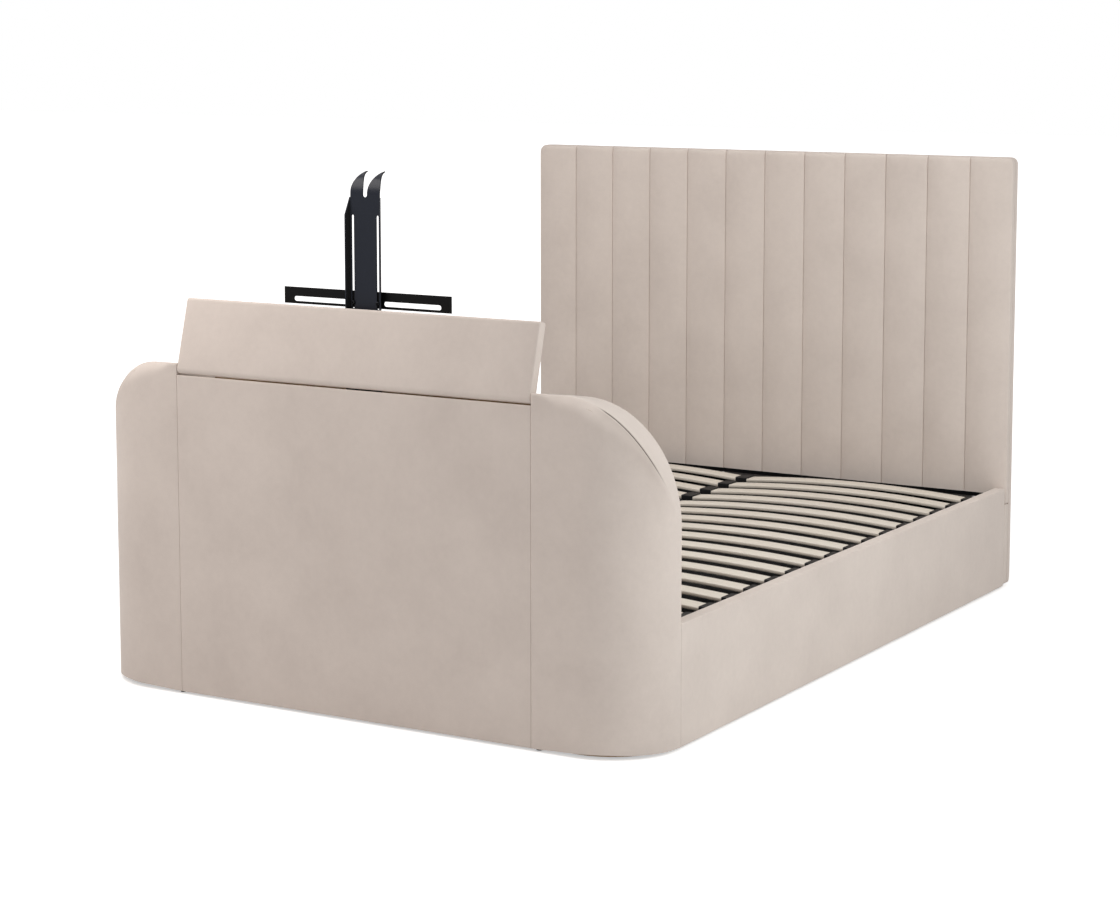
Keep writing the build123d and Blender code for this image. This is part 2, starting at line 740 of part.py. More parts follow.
def build_brackets():
    """Steel angles that tie the rails to the footboard and headboard."""
    tall = (bracket_foot, bracket_foot + bracket_height)
    angles = []
    bolts = []
    for wall, inward in ((foot_back_y, 1), (head_front_y, -1)):
        leg_y = sorted((wall, wall + inward * bracket_leg))
        sheet_y = sorted((wall, wall + inward * bracket_sheet))
        angle = block((rail_inner_x - bracket_sheet, rail_inner_x), leg_y, tall)
        angle += block((rail_inner_x - bracket_leg, rail_inner_x), sheet_y, tall)
        own = []
        for z in (tall[0] + bracket_bolt_inset, tall[1] - bracket_bolt_inset):
            seat_x = rail_inner_x - bracket_sheet
            own.append(bolt((seat_x, wall + inward * bracket_bolt_offset, z), (1, 0, 0),
                            bracket_sheet + rail_board))
            cover = back_pad if inward > 0 else headboard_pad
            own.append(bolt((rail_inner_x - bracket_bolt_offset, wall + inward * bracket_sheet, z),
                            (0, -inward, 0), bracket_sheet + cover + board))
        angles.append(angle - group(own))
        bolts += own
    return {
        "corner_brackets": group([mirrored(one) for one in angles] + angles),
        "bracket_bolts": group([mirrored(one) for one in bolts] + bolts),
    }


def headboard_outline(inset, y_range):
    """Prism with the headboard's outline, drawn in by an inset."""
    low, high = glide_height + inset, headboard_height - inset
    face = Pos(0, (low + high) / 2) * Rectangle(bed_width - 2 * inset, high - low)
    face = fillet(face.vertices().group_by(Axis.Y)[-1], headboard_corner_radius - inset)
    face = fillet(face.vertices().group_by(Axis.Y)[0], headboard_foot_radius - inset)
    plane = Plane(origin=(0, y_range[0], 0), x_dir=(-1, 0, 0), z_dir=(0, 1, 0))
    return extrude(plane * face, amount=y_range[1] - y_range[0])


def channel_form():
    """Plan of one padded channel about x = 0: drawn in at the seams, crowned between them."""
    half = channel_width / 2
    back = head_front_y + headboard_pad
    seam = head_front_y + channel_crown
    shoulder = head_front_y + channel_crown * (1 - channel_shoulder_rise_share)
    inner = half - channel_shoulder
    lines = [
        Polyline((-half, seam), (-half, back), (half, back), (half, seam)),
        Line((half, seam), (inner, shoulder)),
        ThreePointArc((inner, shoulder), (0, head_front_y), (-inner, shoulder)),
        Line((-inner, shoulder), (-half, seam)),
    ]
    face = make_face([edge for line in lines for edge in line.edges()])
    face = fillet(face.vertices().group_by(Axis.Y)[1], channel_shoulder)
    return extrude(Pos(0, 0, channel_bottom) * face, amount=headboard_height - channel_bottom)


def build_headboard():
    """Board with upright padded channels in front and a cover round its edges and back."""
    pad_y = (head_front_y, head_front_y + headboard_pad)
    board_y = (pad_y[1], pad_y[1] + board)
    outline = headboard_outline(0, pad_y)
    top = block((-half_width, half_width), pad_y, (0, headboard_height))
    top = fillet(top.edges().filter_by(Axis.X).group_by(Axis.Y)[0].sort_by(Axis.Z)[-1:], channel_top_round)
    form = channel_form()
    channels = []
    for i in range(channel_count):
        x = -half_width + channel_width * (i + 1 / 2)
        channels.append(Pos(x, 0, 0) * form & outline & top)
    lower = outline & block((-half_width, half_width), pad_y, (glide_height, channel_bottom))
    plank = headboard_outline(headboard_edge, board_y)
    glide_y = (board_y[0] + board_y[1]) / 2
    glides = []
    for share in headboard_glide_shares:
        for x in (-half_width * share, half_width * share):
            glides.append(rod((x, glide_y, 0), (x, glide_y, glide_height), glide_radius))
    return {
        "headboard_channels": group(channels),
        "headboard_lower_pad": lower,
        "headboard_board": plank,
        "headboard_rear_cover": headboard_outline(0, (board_y[0], board_y[1] + lining)) - plank,
        "headboard_glides": group(glides),
    }


def build_bed():
    """Every node of the bed by name."""
    pieces = {}
    power, inlet_hole = build_power()
    for part in (build_footboard(), build_lid(), build_mast(), build_crossbar(), build_lift(), power,
                 build_rails(), build_frame(), build_slats(), build_brackets(), build_headboard()):
        pieces.update(part)
    shanks = pieces["bracket_bolts"]
    for name in ("rail_board_left", "rail_board_right", "headboard_lower_pad", "headboard_board",
                 "footboard_back_board", "footboard_back_cover"):
        pieces[name] -= shanks
    for name in ("footboard_back_board", "footboard_back_cover"):
        pieces[name] -= inlet_hole
    return pieces


def report_places():
    """Print the places that joints, mounts and openings use."""
    print(f"bed length {bed_length:.1f}, front {front_y:.1f}, head front {head_front_y:.1f}")
    print(f"lid pivot y {pivot_y:.2f} z {pivot_z:.2f}, lid back y {lid_back_y:.2f}")
    print(f"mast front y {mast_front_y:.2f}, web {web_front_y:.2f} to {web_back_y:.2f}")
    print(f"mast foot {mast_foot:.2f}, shoulders {mast_shoulder:.2f}, crossbar bolts {bar_bolt_z:.2f}")
    print(f"lift stroke {lift_stroke:.2f}, guide {guide_foot:.2f} to {guide_top:.2f}, axis y {guide_axis_y:.2f}")
    print(f"slat pitch {slat_pitch:.2f}")


def main():
    """Write one STEP file for each node."""
    os.makedirs("parts", exist_ok=True)
    report_places()
    for name, shape in build_bed().items():
        export_step(shape, f"parts/{name}.step")


main()
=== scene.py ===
"""A television bed in pale velvet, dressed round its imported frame.

Metres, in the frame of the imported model: +X to the right seen from the foot, +Y from foot to head, +Z up,
with the origin on the floor under the middle of the bed. The lid stands open and the mount is raised.
"""

from __future__ import annotations

import json
import logging
import math
from collections.abc import Callable, Iterable
from dataclasses import dataclass
from enum import Enum
from typing import Any, ClassVar

import bmesh
import bpy
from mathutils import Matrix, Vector, noise


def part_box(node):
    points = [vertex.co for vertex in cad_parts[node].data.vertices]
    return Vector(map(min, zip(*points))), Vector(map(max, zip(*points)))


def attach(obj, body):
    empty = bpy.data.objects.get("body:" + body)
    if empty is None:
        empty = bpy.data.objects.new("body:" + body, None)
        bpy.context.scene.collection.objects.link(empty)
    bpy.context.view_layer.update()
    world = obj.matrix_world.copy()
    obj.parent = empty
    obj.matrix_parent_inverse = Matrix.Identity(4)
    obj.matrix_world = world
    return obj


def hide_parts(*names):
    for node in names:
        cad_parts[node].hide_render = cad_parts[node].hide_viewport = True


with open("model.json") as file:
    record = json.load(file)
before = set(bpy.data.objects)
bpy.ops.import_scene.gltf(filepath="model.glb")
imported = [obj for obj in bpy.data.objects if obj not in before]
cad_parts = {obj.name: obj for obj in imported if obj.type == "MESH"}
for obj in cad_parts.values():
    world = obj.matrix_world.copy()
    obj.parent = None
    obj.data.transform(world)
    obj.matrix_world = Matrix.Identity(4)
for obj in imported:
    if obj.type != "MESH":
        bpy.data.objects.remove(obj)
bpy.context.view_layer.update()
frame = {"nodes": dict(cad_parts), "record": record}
LOG = logging.getLogger("tv_bed")
TOUCH = 1e-5  # coordinates nearer than this are the same

Point = tuple[float, float, float]
Colour = tuple[float, float, float, float]
BLACK: Colour = (0.0, 0.0, 0.0, 1.0)
WHITE: Colour = (1.0, 1.0, 1.0, 1.0)


class Axis(Enum):
    """The three axes of the frame."""

    X = (1.0, 0.0, 0.0)
    Y = (0.0, 1.0, 0.0)
    Z = (0.0, 0.0, 1.0)


class Body(Enum):
    """The bodies that pieces ride on."""

    BED = "bed"
    MAST = "mast"
    CROSSBAR = "crossbar"
    LID = "lid"


class Joining(Enum):
    """Ways to combine two solid meshes."""

    CUT = "DIFFERENCE"
    ADD = "UNION"


def let_go() -> None:
    """Leave edit mode and deselect everything."""
    if bpy.context.object and bpy.context.mode != "OBJECT":
        bpy.ops.object.mode_set(mode="OBJECT")
    bpy.ops.object.select_all(action="DESELECT")


def steps(low: float, high: float, pitch: float, margin: float) -> list[float]:
    """Places of cuts between two ends: one near each end and even ones between.

    Args:
        low: Lower end.
        high: Upper end.
        pitch: Largest distance between cuts.
        margin: Distance of the first and last cut from the ends.

    Returns:
        The places in rising order.
    """
    first, last = low + margin, high - margin
    count = max(1, math.ceil((last - first) / pitch))
    return [first + (last - first) * i / count for i in range(count + 1)]


def unevenness(place: Vector, size: float, seed: float) -> float:
    """A gentle wave from -1 to 1, as long as its size, that each seed shifts."""
    return noise.noise(Vector((place.x / size + seed, place.y / size, place.z / size)))


class Bench:
    """One mesh on the workbench, picked by place or normal and shaped with Blender's own operators."""

    def __init__(self, piece: bpy.types.Object, name: str) -> None:
        """Take a new mesh and give it its name."""
        self.piece = piece
        piece.name = piece.data.name = name

    @classmethod
    def _applied(cls, name: str) -> Bench:
        """A bench for the newest primitive, with its place and size applied to its mesh."""
        bpy.ops.object.transform_apply(location=True, rotation=True, scale=True)
        return cls(bpy.context.object, name)

    @classmethod
    def block(cls, name: str, low: Point, high: Point) -> Bench:
        """A box.

        Args:
            name: Name of the piece.
            low: Lowest corner.
            high: Highest corner.

        Returns:
            The bench that holds it.
        """
        let_go()
        middle = [(a + b) / 2 for a, b in zip(low, high)]
        bpy.ops.mesh.primitive_cube_add(size=1, location=middle, scale=[b - a for a, b in zip(low, high)])
        return cls._applied(name)

    @classmethod
    def rectangle(cls, name: str, middle: Point, size: Point, turned: Point = (0, 0, 0)) -> Bench:
        """A flat rectangle.

        Args:
            name: Name of the piece.
            middle: Its middle.
            size: Its width, its length and 1.
            turned: Its rotation.

        Returns:
            The bench that holds it.
        """
        let_go()
        bpy.ops.mesh.primitive_plane_add(size=1, location=middle, rotation=turned)
        bpy.context.object.scale = size
        return cls._applied(name)

    @classmethod
    def rod(cls, name: str, start: Vector, end: Vector, radius: float, sides: int) -> Bench:
        """A round or many-sided bar.

        Args:
            name: Name of the piece.
            start: Middle of one end.
            end: Middle of the other end.
            radius: Radius to the corners.
            sides: Number of sides.

        Returns:
            The bench that holds it.
        """
        let_go()
        along = end - start
        bpy.ops.mesh.primitive_cylinder_add(
            vertices=sides, radius=radius, depth=along.length, location=(end + start) / 2,
            rotation=along.to_track_quat("Z", "Y").to_euler())
        return cls._applied(name)

    @property
    def mesh(self) -> bpy.types.Mesh:
        """The mesh on the bench."""
        return self.piece.data

    def take(self) -> None:
        """Make this piece the only selected and the active one."""
        let_go()
        self.piece.select_set(True)
        bpy.context.view_layer.objects.active = self.piece

    def _done(self) -> Bench:
        """Leave edit mode, and give this bench back."""
        let_go()
        return self

    def _pick(self, kind: str, chosen: Callable[[bmesh.types.BMesh], Iterable[Any]]) -> Bench:
        """Go to edit mode, pick parts of the mesh and stay there.

        Args:
            kind: VERT, EDGE or FACE.
            chosen: Gives the parts to pick.

        Returns:
            This bench.
        """
        self.take()
        bpy.ops.object.mode_set(mode="EDIT")
        bpy.ops.mesh.select_mode(type=kind)
        bpy.ops.mesh.select_all(action="DESELECT")
        shape = bmesh.from_edit_mesh(self.mesh)
        for part in list(chosen(shape)):
            part.select_set(True)
        shape.select_flush_mode()
        bmesh.update_edit_mesh(self.mesh)
        return self

    def faces(self, test: Callable[[Vector, Vector], bool]) -> Bench:
        """Pick the faces whose middle and normal pass a test."""
        return self._pick("FACE", lambda shape: [f for f in shape.faces if test(f.calc_center_median(), f.normal)])

    def edges(self, test: Callable[[Vector, Vector], bool]) -> Bench:
        """Pick the edges whose two ends pass a test."""
        return self._pick("EDGE", lambda shape: [e for e in shape.edges if test(e.verts[0].co, e.verts[1].co)])

    def points(self, test: Callable[[Vector], bool]) -> Bench:
        """Pick the points that pass a test."""
        return self._pick("VERT", lambda shape: [v for v in shape.verts if test(v.co)])

    def everything(self) -> Bench:
        """Pick the whole mesh."""
        return self.points(lambda place: True)

    def bevel(self, width: float, segments: int) -> Bench:
        """Round the picked edges."""
        bpy.ops.mesh.bevel(offset=width, segments=segments, profile=0.5, affect="EDGES")
        return self._done()

    def inset(self, width: float) -> Bench:
        """Inset the picked faces, and keep the inner ones picked."""
        bpy.ops.mesh.inset(thickness=width, depth=0.0)
        return self

    def extrude(self, by: Point) -> Bench:
        """Extrude the picked faces along a vector, and keep them picked."""
        bpy.ops.mesh.extrude_region_move(TRANSFORM_OT_translate={"value": by})
        return self

    def move(self, by: Point) -> Bench:
        """Move what is picked."""
        bpy.ops.transform.translate(value=by)
        return self

    def remove_faces(self) -> Bench:
        """Delete the picked faces and leave their rim open."""
        bpy.ops.mesh.delete(type="FACE")
        return self._done()

    def weld(self, reach: float) -> Bench:
        """Merge points nearer than the reach, and face everything outwards.

        Args:
            reach: Distance, or 0 to merge none.

        Returns:
            This bench.
        """
        self.everything()
        if reach:
            bpy.ops.mesh.remove_doubles(threshold=reach)
        bpy.ops.mesh.normals_make_consistent(inside=False)
        return self._done()

    def cut(self, axis: Axis, places: Iterable[float]) -> Bench:
        """Add a line of edges round the mesh at each place along an axis.

        Args:
            axis: Axis that the cuts stand square to.
            places: Where the cuts go.

        Returns:
            This bench.
        """
        for place in places:
            self.everything()
            bpy.ops.mesh.bisect(plane_co=Vector(axis.value) * place, plane_no=axis.value)
        return self._done()

    def turn(self, degrees: float, axis: Axis, about: Point) -> Bench:
        """Turn the whole mesh about a line.

        Args:
            degrees: Angle by the right-hand rule.
            axis: Direction of the line.
            about: A point on it.

        Returns:
            This bench.
        """
        self.everything()
        bpy.ops.transform.rotate(value=-math.radians(degrees), orient_axis=axis.name, center_override=about)
        return self._done()

    def shape(self, change: Callable[[Vector], Vector]) -> Bench:
        """Move every point by hand.

        Args:
            change: Gives a point's new place.

        Returns:
            This bench.
        """
        let_go()
        for point in self.mesh.vertices:
            # Move every point one by one.
            point.co = change(point.co.copy())
        self.mesh.update()
        return self

    def note(self, name: str, value: Callable[[Vector], float]) -> Bench:
        """Keep a number with each point, for a material to read.

        Args:
            name: Name of the attribute.
            value: Gives a point's number.

        Returns:
            This bench.
        """
        kept = self.mesh.attributes.new(name, "FLOAT", "POINT")
        for point, number in zip(self.mesh.vertices, kept.data):
            number.value = value(point.co)
        return self

    def modify(self, kind: str, **settings: Any) -> Bench:
        """Add a modifier and apply it at once.

        Args:
            kind: The modifier's type.
            settings: Its properties.

        Returns:
            This bench.
        """
        self.take()
        modifier = self.piece.modifiers.new(kind.lower(), kind)
        for key, value in settings.items():
            setattr(modifier, key, value)
        bpy.ops.object.modifier_apply(modifier=modifier.name)
        return self

    def subdivide(self, levels: int) -> Bench:
        """Round the whole cage with subdivision."""
        return self.modify("SUBSURF", levels=levels, render_levels=levels)

    def soften(self, width: float, segments: int) -> Bench:
        """Round every edge sharper than 50 degrees."""
        return self.modify("BEVEL", width=width, segments=segments, limit_method="ANGLE",
                           angle_limit=math.radians(50), miter_outer="MITER_ARC")

    def join(self, other: Bench, how: Joining) -> Bench:
        """Combine with another mesh, which is used up.

        Args:
            other: The mesh to combine with.
            how: Cut it away or add it.

        Returns:
            This bench.
        """
        self.modify("BOOLEAN", object=other.piece, operation=how.value, solver="EXACT")
        bpy.data.objects.remove(other.piece)
        return self

    def copy(self, name: str, by: Point = (0.0, 0.0, 0.0)) -> Bench:
        """A copy with a mesh of its own.

        Args:
            name: Name of the copy.
            by: How far it is moved.

        Returns:
            The bench that holds it.
        """
        self.take()
        bpy.ops.object.duplicate()
        return Bench(bpy.context.object, name).everything().move(by)

    def mirrored(self, name: str) -> Bench:
        """A copy on the other side of the bed.

        Args:
            name: Name of the copy.

        Returns:
            The bench that holds it.
        """
        twin = self.copy(name)
        twin.take()
        twin.piece.scale = (-1, 1, 1)
        bpy.ops.object.transform_apply(scale=True)
        return twin.weld(0.0)

    @staticmethod
    def gathered(name: str, benches: list[Bench]) -> Bench:
        """Make one piece of several meshes.

        Args:
            name: Name of the piece.
            benches: The meshes, which are used up.

        Returns:
            The bench that holds it.
        """
        first = benches[0]
        first.take()
        for other in benches[1:]:
            other.piece.select_set(True)
        bpy.ops.object.join()
        return Bench(first.piece, name)

    def smooth(self, angle: float) -> Bench:
        """Shade smoothly, except over edges sharper than an angle in degrees.

        Args:
            angle: The angle.

        Returns:
            This bench.
        """
        self.take()
        bpy.ops.object.shade_smooth_by_angle(angle=math.radians(angle))
        return self

    def swell(self, held: Callable[[Vector], bool], pressure: float, cap: float) -> Bench:
        """Fill the mesh as a padded cover with the cloth simulation, and apply the result.

        Args:
            held: Test for the points that are sewn or stapled down.
            pressure: Pressure of the filling.
            cap: Furthest that a point may move.

        Returns:
            This bench.
        """
        self.take()
        start = [point.co.copy() for point in self.mesh.vertices]
        sewn = [i for i, place in enumerate(start) if held(place)]
        self.piece.vertex_groups.new(name="sewn").add(sewn, 1.0, "REPLACE")
        modifier = self.piece.modifiers.new("cloth", "CLOTH")
        velvet = {"quality": 5, "mass": 0.3, "tension_stiffness": 18.0, "compression_stiffness": 18.0,
                  "shear_stiffness": 8.0, "bending_stiffness": 2.0, "use_pressure": True,
                  "uniform_pressure_force": pressure, "shrink_min": 0.0, "vertex_group_mass": "sewn"}
        for key, value in velvet.items():
            setattr(modifier.settings, key, value)
        modifier.settings.effector_weights.gravity = 0.0
        modifier.collision_settings.use_collision = False
        modifier.point_cache.frame_start, modifier.point_cache.frame_end = 1, 20
        for tick in range(1, 21):
            bpy.context.scene.frame_set(tick)
        bpy.ops.object.modifier_apply(modifier=modifier.name)
        bpy.context.scene.frame_set(1)
        for point, place in zip(self.mesh.vertices, start):
            moved = point.co - place
            if moved.length > cap:
                point.co = place + moved * (cap / moved.length)
        self.piece.vertex_groups.clear()
        self.mesh.update()
        return self


class Sheet:
    """A node tree being written, with short ways to add and join nodes."""

    def __init__(self, tree: bpy.types.NodeTree) -> None:
        """Start on a tree."""
        self.tree = tree

    def feed(self, node: bpy.types.Node, inputs: dict[Any, Any]) -> None:
        """Give a node what goes into it.

        Args:
            node: The node.
            inputs: Values or sockets for its inputs, by name or number.
        """
        for key, value in inputs.items():
            if isinstance(value, bpy.types.NodeSocket):
                self.tree.links.new(value, node.inputs[key])
            else:
                node.inputs[key].default_value = value

    def add(self, kind: str, inputs: dict[Any, Any] | None = None, **settings: Any) -> bpy.types.Node:
        """Add a node.

        Args:
            kind: The node's type, without its ShaderNode prefix where it has one.
            inputs: Values or sockets for its inputs, by name or number.
            settings: Its other properties.

        Returns:
            The node.
        """
        node = self.tree.nodes.new(kind if kind.startswith("Node") else f"ShaderNode{kind}")
        for key, value in settings.items():
            setattr(node, key, value)
        self.feed(node, inputs or {})
        return node

    def noise(self, where: Any, scale: Any, detail: float, roughness: float) -> Any:
        """Value of a noise texture."""
        inputs = {"Vector": where, "Scale": scale, "Detail": detail, "Roughness": roughness}
        return self.add("TexNoise", inputs).outputs["Fac"]

    def maths(self, how: str, *values: Any) -> Any:
        """Result of a Math node."""
        return self.add("Math", dict(enumerate(values)), operation=how).outputs[0]

    def vector(self, how: str, output: str, first: Any, second: Any = (0.0, 0.0, 0.0)) -> Any:
        """Result of a Vector Math node."""
        return self.add("VectorMath", {0: first, 1: second}, operation=how).outputs[output]

    def span(self, value: Any, low: float, high: float, to_low: float = 0.0, to_high: float = 1.0) -> Any:
        """Result of a Map Range node."""
        return self.add("MapRange", {0: value, 1: low, 2: high, 3: to_low, 4: to_high}).outputs[0]

    def mix(self, share: Any, first: Any, second: Any) -> Any:
        """Number between two others."""
        return self.add("Mix", {0: share, 2: first, 3: second}).outputs[0]

    def blend(self, share: Any, first: Any, second: Any) -> Any:
        """Colour between two others."""
        return self.add("Mix", {0: share, 6: first, 7: second}, data_type="RGBA").outputs[2]

    def facing(self, axis: Axis) -> Any:
        """How far the surface's normal lies along an axis, either way."""
        normal = self.add("SeparateXYZ", {0: self.add("NewGeometry").outputs["Normal"]})
        return self.maths("ABSOLUTE", normal.outputs[axis.name])


class Effects:
    """Shared node groups, each built at its first use."""

    @staticmethod
    def _start(name: str, takes: dict[str, Any], gives: tuple[str, str]) -> tuple[Sheet, Any, bpy.types.Node]:
        """Make an empty group with its sockets.

        Args:
            name: Name of the group.
            takes: Usual value of each input, None or three numbers for a vector.
            gives: Names of the outputs.

        Returns:
            The sheet, what the group is given, and the group's output node.
        """
        tree = bpy.data.node_groups.new(name, "ShaderNodeTree")
        number, vector = "NodeSocketFloat", "NodeSocketVector"
        for label, value in takes.items():
            kind = number if isinstance(value, float) else vector
            socket = tree.interface.new_socket(label, in_out="INPUT", socket_type=kind)
            if value is not None:
                socket.default_value = value
        for label in gives:
            kind = vector if label == "Normal" else number
            tree.interface.new_socket(label, in_out="OUTPUT", socket_type=kind)
        sheet = Sheet(tree)
        return sheet, sheet.add("NodeGroupInput").outputs, sheet.add("NodeGroupOutput")

    @classmethod
    def mottle(cls) -> bpy.types.NodeTree:
        """Soft patches over a finer grain.

        Returns:
            A group that gives a tone from 0 to 1 and a height.
        """
        sheet, given, out = cls._start(
            "mottle", {"Vector": None, "Patches": 6.0, "Grain": 300.0, "Share": 0.3}, ("Tone", "Height"))
        patches = sheet.noise(given["Vector"], given["Patches"], 3.0, 0.55)
        grain = sheet.noise(given["Vector"], given["Grain"], 2.0, 0.6)
        mixed = sheet.mix(given["Share"], patches, grain)
        sheet.feed(out, {"Tone": sheet.span(mixed, 0.3, 0.7), "Height": mixed})
        return sheet.tree

    @classmethod
    def fibres(cls) -> bpy.types.NodeTree:
        """Long fine streaks along a direction.

        Returns:
            A group that gives a tone from 0 to 1 and a height.
        """
        sheet, given, out = cls._start(
            "fibres", {"Vector": None, "Stretch": (1.0, 1.0, 1.0), "Waviness": 0.1}, ("Tone", "Height"))
        bend = sheet.add("TexNoise", {"Vector": given["Vector"], "Scale": 3.0, "Detail": 1.0}).outputs["Color"]
        offset = sheet.add("VectorMath", {0: bend, "Scale": given["Waviness"]}, operation="SCALE").outputs[0]
        place = sheet.vector("MULTIPLY", "Vector", given["Vector"], given["Stretch"])
        place = sheet.vector("ADD", "Vector", place, offset)
        mixed = sheet.mix(0.35, sheet.noise(place, 1.0, 3.0, 0.6), sheet.noise(place, 6.0, 2.0, 0.5))
        sheet.feed(out, {"Tone": sheet.span(mixed, 0.3, 0.7), "Height": mixed})
        return sheet.tree

    @classmethod
    def edges(cls) -> bpy.types.NodeTree:
        """Softened edges, with a mask on them broken up by noise, which the coatings paint lighter as wear and a
        painted highlight.

        Returns:
            A group that gives a mask, 1 on the edges where wear and a painted highlight show, and a normal rounded over
            them.
        """
        sheet, given, out = cls._start("edges", {"Vector": None, "Radius": 0.0008}, ("Mask", "Normal"))
        rounded = sheet.add("Bevel", {"Radius": given["Radius"]}, samples=4).outputs[0]
        flat = sheet.add("NewGeometry").outputs["Normal"]
        edge = sheet.span(sheet.vector("DOT_PRODUCT", "Value", rounded, flat), 1.0, 0.85)
        worn = sheet.span(sheet.noise(given["Vector"], 60.0, 4.0, 0.7), 0.42, 0.62)
        sheet.feed(out, {"Mask": sheet.maths("MULTIPLY", edge, worn), "Normal": rounded})
        return sheet.tree


class Recipe(Sheet):
    """The node sheet of a material, with its shader and its object coordinates."""

    def __init__(self, made: bpy.types.Material) -> None:
        """Start on a new material.

        Args:
            made: The material.
        """
        made.use_nodes = True
        super().__init__(made.node_tree)
        self.shader = self.tree.nodes["Principled BSDF"]
        self.where = self.add("TexCoord").outputs["Object"]

    def coat(self, inputs: dict[str, Any]) -> None:
        """Give the shader what goes into it."""
        self.feed(self.shader, inputs)

    def effect(self, build: Callable[[], bpy.types.NodeTree], **inputs: Any) -> Any:
        """What a shared group gives for its inputs, which is built at its first use."""
        tree = bpy.data.node_groups.get(build.__name__) or build()
        return self.add("Group", {"Vector": self.where, **inputs}, node_tree=tree).outputs

    def mark(self, name: str) -> Any:
        """A number kept with the points of a mesh."""
        return self.add("Attribute", attribute_name=name).outputs["Fac"]

    def bump(self, strength: float, distance: float, height: Any, **normal: Any) -> Any:
        """A normal bent by a height, over the one given as Normal."""
        inputs = {"Strength": strength, "Distance": distance, "Height": height, **normal}
        return self.add("Bump", inputs).outputs[0]


@dataclass(frozen=True)
class Finish:
    """A finish that can be put on pieces. Its material is made once and shared."""

    name: ClassVar[str] = "finish"
    slot: ClassVar[str] = ""

    def write(self, recipe: Recipe) -> None:
        """Write the finish's nodes on its recipe."""
        raise NotImplementedError

    def material(self) -> bpy.types.Material:
        """The finish's material, made at its first use.

        Returns:
            The material.
        """
        made = bpy.data.materials.get(self.name)
        if made is None:
            made = bpy.data.materials.new(self.name)
            self.write(Recipe(made))
        return made


@dataclass(frozen=True)
class Velvet(Finish):
    """Short-pile velvet in soft uneven tones, with painted shade along a sewn seam and on the face just before it,
    where a piece carries these marks.
    """

    name: ClassVar[str] = "short_pile_velvet"
    slot: ClassVar[str] = "velvet"
    low: Colour = (0.656, 0.576, 0.526, 1.0)
    high: Colour = (0.778, 0.692, 0.633, 1.0)
    # Painted shade in the groove of the sewn seam.
    seam: Colour = (0.140, 0.105, 0.090, 1.0)
    # Painted shade on the face just before the sewn seam.
    shade: Colour = (0.400, 0.330, 0.290, 1.0)
    tint: Colour = (1.0, 0.96, 0.92, 1.0)

    def write(self, recipe: Recipe) -> None:
        """Write the velvet, darkened by two marks kept on its points: a painted shade in the groove of its sewn seam,
        and a painted shade on the face just before the seam.

        Args:
            recipe: The material's recipe.
        """
        patches = recipe.effect(Effects.mottle, Patches=4.5, Grain=60.0, Share=0.25)
        pile = recipe.effect(Effects.mottle, Patches=900.0, Grain=2600.0, Share=0.5)
        colour = recipe.blend(recipe.mix(0.3, patches["Tone"], pile["Tone"]), self.low, self.high)
        # Painted shade: the face just before the seam is darkened by its mark.
        colour = recipe.blend(recipe.maths("MULTIPLY", recipe.mark("nap"), 0.5), colour, self.shade)
        # Painted shade: the groove of the sewn seam is darkened by its mark.
        colour = recipe.blend(recipe.maths("MULTIPLY", recipe.mark("seam"), 0.95), colour, self.seam)
        soft = recipe.bump(0.35, 0.004, patches["Height"])
        recipe.coat({"Base Color": colour, "Roughness": recipe.span(patches["Tone"], 0.0, 1.0, 0.82, 0.95),
                     "Normal": recipe.bump(0.3, 0.0006, pile["Height"], Normal=soft), "Sheen Weight": 0.35,
                     "Sheen Roughness": 0.45, "Sheen Tint": self.tint, "Specular IOR Level": 0.15})


@dataclass(frozen=True)
class Birch(Finish):
    """Pale laminated birch with its layers on the edges."""

    name: ClassVar[str] = "birch_slat"
    slot: ClassVar[str] = "slat_wood"
    light: Colour = (0.82, 0.77, 0.69, 1.0)
    dark: Colour = (0.68, 0.60, 0.50, 1.0)
    glue: Colour = (0.42, 0.31, 0.22, 1.0)
    pitch: float = 0.117
    layers: float = 5.0

    def write(self, recipe: Recipe) -> None:
        """Write the wood, with a tone for each slat and glue lines by its mark "layer".

        Args:
            recipe: The material's recipe.
        """
        maths = recipe.maths
        grain = recipe.effect(Effects.fibres, Stretch=(5.0, 180.0, 180.0), Waviness=1.2)
        along = recipe.add("SeparateXYZ", {0: recipe.where}).outputs["Y"]
        slat = maths("FLOOR", maths("DIVIDE", along, self.pitch))
        shade = recipe.add("TexWhiteNoise", {"W": slat}, noise_dimensions="1D").outputs["Value"]
        colour = recipe.blend(maths("MULTIPLY", grain["Tone"], 0.55), self.light, self.dark)
        colour = recipe.blend(maths("MULTIPLY", shade, 0.22), colour, self.dark)
        line = maths("FRACT", maths("MULTIPLY", recipe.mark("layer"), self.layers))
        line = maths("LESS_THAN", maths("ABSOLUTE", maths("SUBTRACT", line, 0.5)), 0.08)
        line = maths("MULTIPLY", line, maths("LESS_THAN", recipe.facing(Axis.Z), 0.5))
        recipe.coat({"Base Color": recipe.blend(maths("MULTIPLY", line, 0.7), colour, self.glue),
                     "Roughness": recipe.span(grain["Tone"], 0.0, 1.0, 0.42, 0.58),
                     "Normal": recipe.bump(0.25, 0.0004, grain["Height"])})


